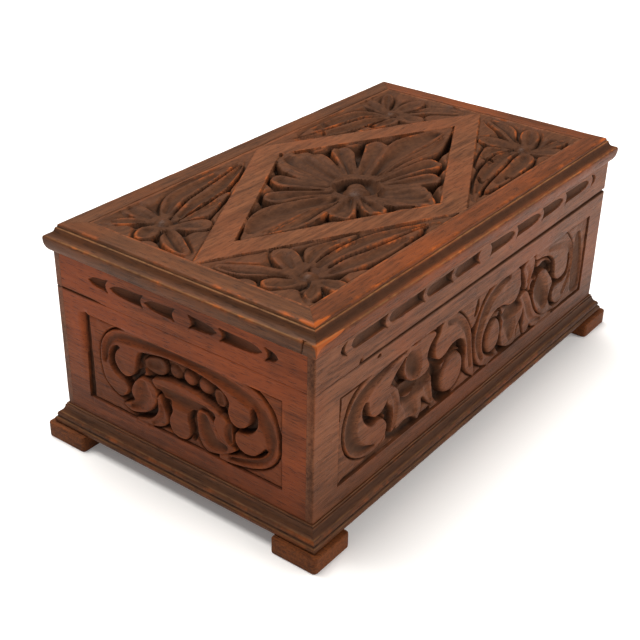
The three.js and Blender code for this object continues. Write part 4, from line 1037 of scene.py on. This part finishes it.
# ---- materials ----------------------------------------------------------------------
class Nodes:
    """Short-hand for building a material's node tree."""

    def __init__(self, name):
        self.material = bpy.data.materials.new(name)
        self.material.use_nodes = True
        self.tree = self.material.node_tree
        self.shader = self.tree.nodes["Principled BSDF"]

    def add(self, kind, inputs=None, **settings):
        node = self.tree.nodes.new(kind)
        for key, value in settings.items():
            setattr(node, key, value)
        for key, value in (inputs or {}).items():
            self.put(node.inputs[key], value)
        return node

    def put(self, socket, value):
        if isinstance(value, bpy.types.NodeSocket):
            self.tree.links.new(value, socket)
        else:
            socket.default_value = value

    def set(self, **values):
        """Uniform values, set on the shader's own sockets."""
        for key, value in values.items():
            self.shader.inputs[key.replace("_", " ")].default_value = value

    def math(self, op, a, b, clamp=False):
        return self.add("ShaderNodeMath", {0: a, 1: b}, operation=op, use_clamp=clamp).outputs[0]

    def times(self, *values):
        out = values[0]
        for value in values[1:]:
            out = self.math("MULTIPLY", out, value)
        return out

    def mix(self, base, over, *amounts):
        """Paints `over` onto the base by the product of the amounts."""
        a, b = ((*c, 1.0) if isinstance(c, tuple) else c for c in (base, over))
        return self.add("ShaderNodeMix", {0: self.times(*amounts), 6: a, 7: b},
                        data_type="RGBA").outputs[2]

    def ramp(self, value, low, high, smooth=False):
        kind = "SMOOTHSTEP" if smooth else "LINEAR"
        node = self.add("ShaderNodeMapRange", {"Value": value, "From Min": low,
                                               "From Max": high}, interpolation_type=kind)
        return node.outputs["Result"]

    def bump(self, height, strength, distance):
        node = self.add("ShaderNodeBump", {"Height": height, "Strength": strength,
                                           "Distance": distance})
        self.put(self.shader.inputs["Normal"], node.outputs[0])

    def noise(self, vector, scale, detail=2.0, rough=0.5, warp=0.0):
        node = self.add("ShaderNodeTexNoise", {"Vector": vector, "Scale": scale,
                                               "Detail": detail, "Roughness": rough,
                                               "Distortion": warp})
        return node.outputs[0]

    def attribute(self, name):
        return self.add("ShaderNodeAttribute", attribute_name=name).outputs["Fac"]


GRAIN = {"x": (0.07, 1, 1), "y": (1, 0.07, 1)}      # noise drawn out along the grain
# paints that every wood shares
PORE, DIRT_AND_SHADE, BOTTOM_SHADE = (0.018, 0.008, 0.005), (0.014, 0.008, 0.005), (0.030, 0.013, 0.007)
STAIN_SHADE_DARK, STAIN_SHADE_LIGHT = (0.032, 0.013, 0.006), (0.072, 0.030, 0.014)
BARE, ARRIS_HIGHLIGHT, SMUDGE = (0.38, 0.085, 0.014), (0.27, 0.135, 0.052), (0.045, 0.020, 0.010)


def wood(name, grain, tones, seed, gloss=0.4, low_grime=0.45, stain=0.75, rubbed=0.8,
         mottle=0.0):
    """Stained, waxed wood: grain and pores along one axis, dirt and painted shade in hollows,
    painted shade towards the bottom, rubbed edges.
    """
    dark, light, red = tones
    n = Nodes(name)
    place = n.add("ShaderNodeTexCoord").outputs["Object"]
    offset = (seed * 0.37, seed * 0.21, seed * 0.13)
    shifted = n.add("ShaderNodeMapping", {"Vector": place, "Location": offset}).outputs[0]
    grained = n.add("ShaderNodeMapping", {"Vector": shifted, "Scale": GRAIN[grain]}).outputs[0]
    figure = n.noise(grained, 130, 5, 0.62, 0.9)
    streak = n.noise(grained, 620, 3, 0.6, 0.2)
    pit = n.times(n.ramp(n.noise(grained, 2100, 2, 0.5), 0.56, 0.66), 0.6)
    cloud = n.noise(shifted, 22, 3, 0.55)
    fleck = n.noise(shifted, 260, 3, 0.6)
    smudge = n.noise(shifted, 900, 4, 0.7)
    patchy = n.ramp(n.noise(shifted, 70, 4, 0.7), 0.50, 0.66)
    height = n.add("ShaderNodeSeparateXYZ", {0: place}).outputs[2]
    deep, wear, sunk = n.attribute("deep"), n.attribute("wear"), n.attribute("sunk")

    tone = n.math("ADD", n.times(figure, 0.5), n.times(streak, 0.5))
    base = n.mix(dark, light, n.ramp(tone, 0.39, 0.60))
    base = n.mix(base, red, n.ramp(cloud, 0.42, 0.68, True), 0.55)
    base = n.mix(base, SMUDGE, n.ramp(smudge, 0.46, 0.60), mottle)
    base = n.mix(base, PORE, pit)
    # painted shade: darker towards the bottom of each piece
    low = n.math("SUBTRACT", 1.0, n.ramp(height, 0.010, 0.060, True))
    base = n.mix(base, BOTTOM_SHADE, low, low_grime)
    # stain of the carving and the moulding coves, with painted shade where the carving is cut
    # deep, in gouge cuts and along open seams
    base = n.mix(base, n.mix(STAIN_SHADE_DARK, STAIN_SHADE_LIGHT, n.ramp(fleck, 0.3, 0.7)), sunk, stain)
    # dirt and painted shade in hollows and creases
    base = n.mix(base, DIRT_AND_SHADE, deep, n.ramp(fleck, 0.2, 0.6), 0.9)
    rub = n.math("ADD", n.times(wear, patchy), n.ramp(wear, 0.84, 0.96), True)
    base = n.mix(base, BARE, rub, rubbed)
    # painted highlight lines along the moulding arrises
    base = n.mix(base, ARRIS_HIGHLIGHT, n.attribute("pale"), n.ramp(fleck, 0.25, 0.55), 0.85)
    n.put(n.shader.inputs["Base Color"], base)

    rough = n.math("ADD", n.times(fleck, 0.22), gloss - 0.08)
    rough = n.math("ADD", rough, n.times(n.math("MAXIMUM", deep, sunk), 0.25), True)
    rough = n.math("SUBTRACT", rough, n.times(n.attribute("polish"), 0.26), True)
    n.put(n.shader.inputs["Roughness"], rough)
    n.set(Specular_IOR_Level=0.08)
    relief = n.math("SUBTRACT", n.times(streak, 0.35), pit)
    n.bump(n.math("ADD", relief, n.times(fleck, 0.25)), 0.35, 0.0004)
    return n.material


def brass(name):
    n = Nodes(name)
    place = n.add("ShaderNodeTexCoord").outputs["Object"]
    stain = n.noise(place, 420, 4, 0.65)
    tint = n.mix((0.50, 0.33, 0.13), (0.20, 0.12, 0.05), n.ramp(stain, 0.38, 0.66))
    n.put(n.shader.inputs["Base Color"], tint)
    n.put(n.shader.inputs["Roughness"], n.math("ADD", n.times(stain, 0.35), 0.22))
    n.set(Metallic=0.92)
    n.bump(n.noise(place, 2600, 2), 0.2, 0.0001)
    return n.material


def velvet(name):
    n = Nodes(name)
    place = n.add("ShaderNodeTexCoord").outputs["Object"]
    nap = n.noise(place, 60, 4, 0.6, 0.4)
    pile = n.noise(place, 3000, 2)
    base = n.mix((0.10, 0.006, 0.012), (0.17, 0.012, 0.022), n.ramp(nap, 0.35, 0.7, True))
    base = n.mix(base, (0.07, 0.004, 0.01), n.ramp(pile, 0.4, 0.7), 0.3)
    n.put(n.shader.inputs["Base Color"], base)
    n.put(n.shader.inputs["Roughness"], n.math("ADD", n.times(nap, 0.15), 0.8))
    n.set(Sheen_Weight=0.25, Sheen_Roughness=0.45, Sheen_Tint=(0.9, 0.45, 0.45, 1))
    n.bump(pile, 0.4, 0.0003)
    return n.material


# colours of each wood: dark grain, light grain, reddish clouds
LONG = ((0.074, 0.025, 0.010), (0.196, 0.070, 0.030), (0.200, 0.054, 0.018))
SHORT = ((0.082, 0.020, 0.006), (0.200, 0.048, 0.013), (0.265, 0.052, 0.011))
CARVED = ((0.070, 0.025, 0.010), (0.164, 0.060, 0.025), (0.176, 0.053, 0.020))
STRIP = ((0.056, 0.022, 0.010), (0.118, 0.046, 0.020), (0.140, 0.044, 0.015))
RUBBED = ((0.074, 0.023, 0.008), (0.150, 0.043, 0.015), (0.210, 0.050, 0.012))
BLOCK = ((0.090, 0.027, 0.009), (0.160, 0.048, 0.014), (0.190, 0.054, 0.014))
_made = {}


def make_material(key):
    """The material of a piece, from its kind and the side it stands on."""
    kind, _, side = key.partition("_")
    seed = sum(map(ord, key)) % 17      # so that opposite boards differ in their grain
    name = f"wood_{key}"
    if kind == "long":
        return wood(name, "x", LONG, seed, stain=0.85, rubbed=0.3)
    if kind == "short":
        return wood(name, "y", SHORT, seed, rubbed=0.4)
    if kind == "panel":
        return wood(name, "x", CARVED, seed, gloss=0.38, low_grime=0, stain=0.85)
    if kind in ("plinth", "rim"):
        tones = RUBBED if key in ("rim_front", "rim_right") else STRIP
        axis = "x" if side in ("front", "back") else "y"
        return wood(name, axis, tones, seed, gloss=0.42, low_grime=0.2)
    if kind == "foot":
        return wood(name, "y", BLOCK, seed, gloss=0.62, low_grime=0, mottle=0.55)
    if kind == "inside":
        return wood(name, "x", LONG, seed, gloss=0.6)
    return brass("aged_brass") if kind == "brass" else velvet("red_velvet")


def material(key):
    if key not in _made:
        _made[key] = make_material(key)
    return _made[key]


def done(obj, body, node, key):
    """Gives a piece its material and body, and hides the CAD part it replaces."""
    obj.data.materials.append(material(key))
    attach(obj, body)
    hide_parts(node)


# ---- what stays from the CAD --------------------------------------------------------
def cad_materials():
    for name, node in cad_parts.items():
        if node.hide_render:
            continue
        key = "brass" if name.startswith(("hinge", "screw")) else "inside"
        node.data.materials.clear()
        node.data.materials.append(material(key))


# ---- light, floor and camera --------------------------------------------------------
def stage():
    floor = mesh_object("floor", [(x * 4000, y * 4000, 0) for x, y in
                                  ((-1, -1), (1, -1), (1, 1), (-1, 1))], [[0, 1, 2, 3]])
    n = Nodes("pale_floor")
    n.set(Base_Color=(0.96, 0.96, 0.955, 1), Roughness=0.9, Emission_Color=(1, 1, 1, 1),
          Emission_Strength=0.12)
    floor.data.materials.append(n.material)

    world = bpy.data.worlds.new("studio")
    world.use_nodes = True
    background = world.node_tree.nodes["Background"]
    background.inputs["Color"].default_value = (1.0, 0.985, 0.97, 1)
    background.inputs["Strength"].default_value = 0.28
    bpy.context.scene.world = world
    area("key", (0.05, 0.7, 2.2), (0, 0, 0.06), (2.0, 1.5), 80, (1.0, 0.97, 0.93))
    area("fill", (0.6, -1.5, 0.9), (0, 0, 0.05), (1.2, 0.8), 17, (1.0, 0.96, 0.92))


def area(name, at, target, size, power, tint):
    light = bpy.data.lights.new(name, "AREA")
    light.shape = "RECTANGLE"
    light.size, light.size_y = size
    light.energy = power
    light.color = tint
    obj = add_object(name, light)
    obj.location = at
    away = Vector(at) - Vector(target)
    obj.rotation_euler = away.to_track_quat("Z", "Y").to_euler()


def camera():
    """Three-quarter view from the left front, slightly above."""
    data = bpy.data.cameras.new("camera")
    data.sensor_width = 36
    data.lens = 66.97
    data.shift_x, data.shift_y = -0.0062, 0.0008
    obj = add_object("camera", data)
    azimuth, elevation, roll = math.radians(-53.536), math.radians(29.909), math.radians(1.212)
    back = Vector((math.sin(azimuth) * math.cos(elevation),
                   -math.cos(azimuth) * math.cos(elevation), math.sin(elevation)))
    right = Vector((0, 0, 1)).cross(back).normalized()
    up = back.cross(right)
    turn = Matrix((right, up, back)).transposed()
    obj.matrix_world = (Matrix.Translation((-0.4762, -0.3326, 0.3687)) @ turn.to_4x4()
                        @ Matrix.Rotation(roll, 4, "Z"))
    bpy.context.scene.camera = obj


bpy.context.scene.view_settings.view_transform = "Standard"
camera()
stage()
all_boards()
lid_panel()
mouldings()
feet()
lining()
cad_materials()
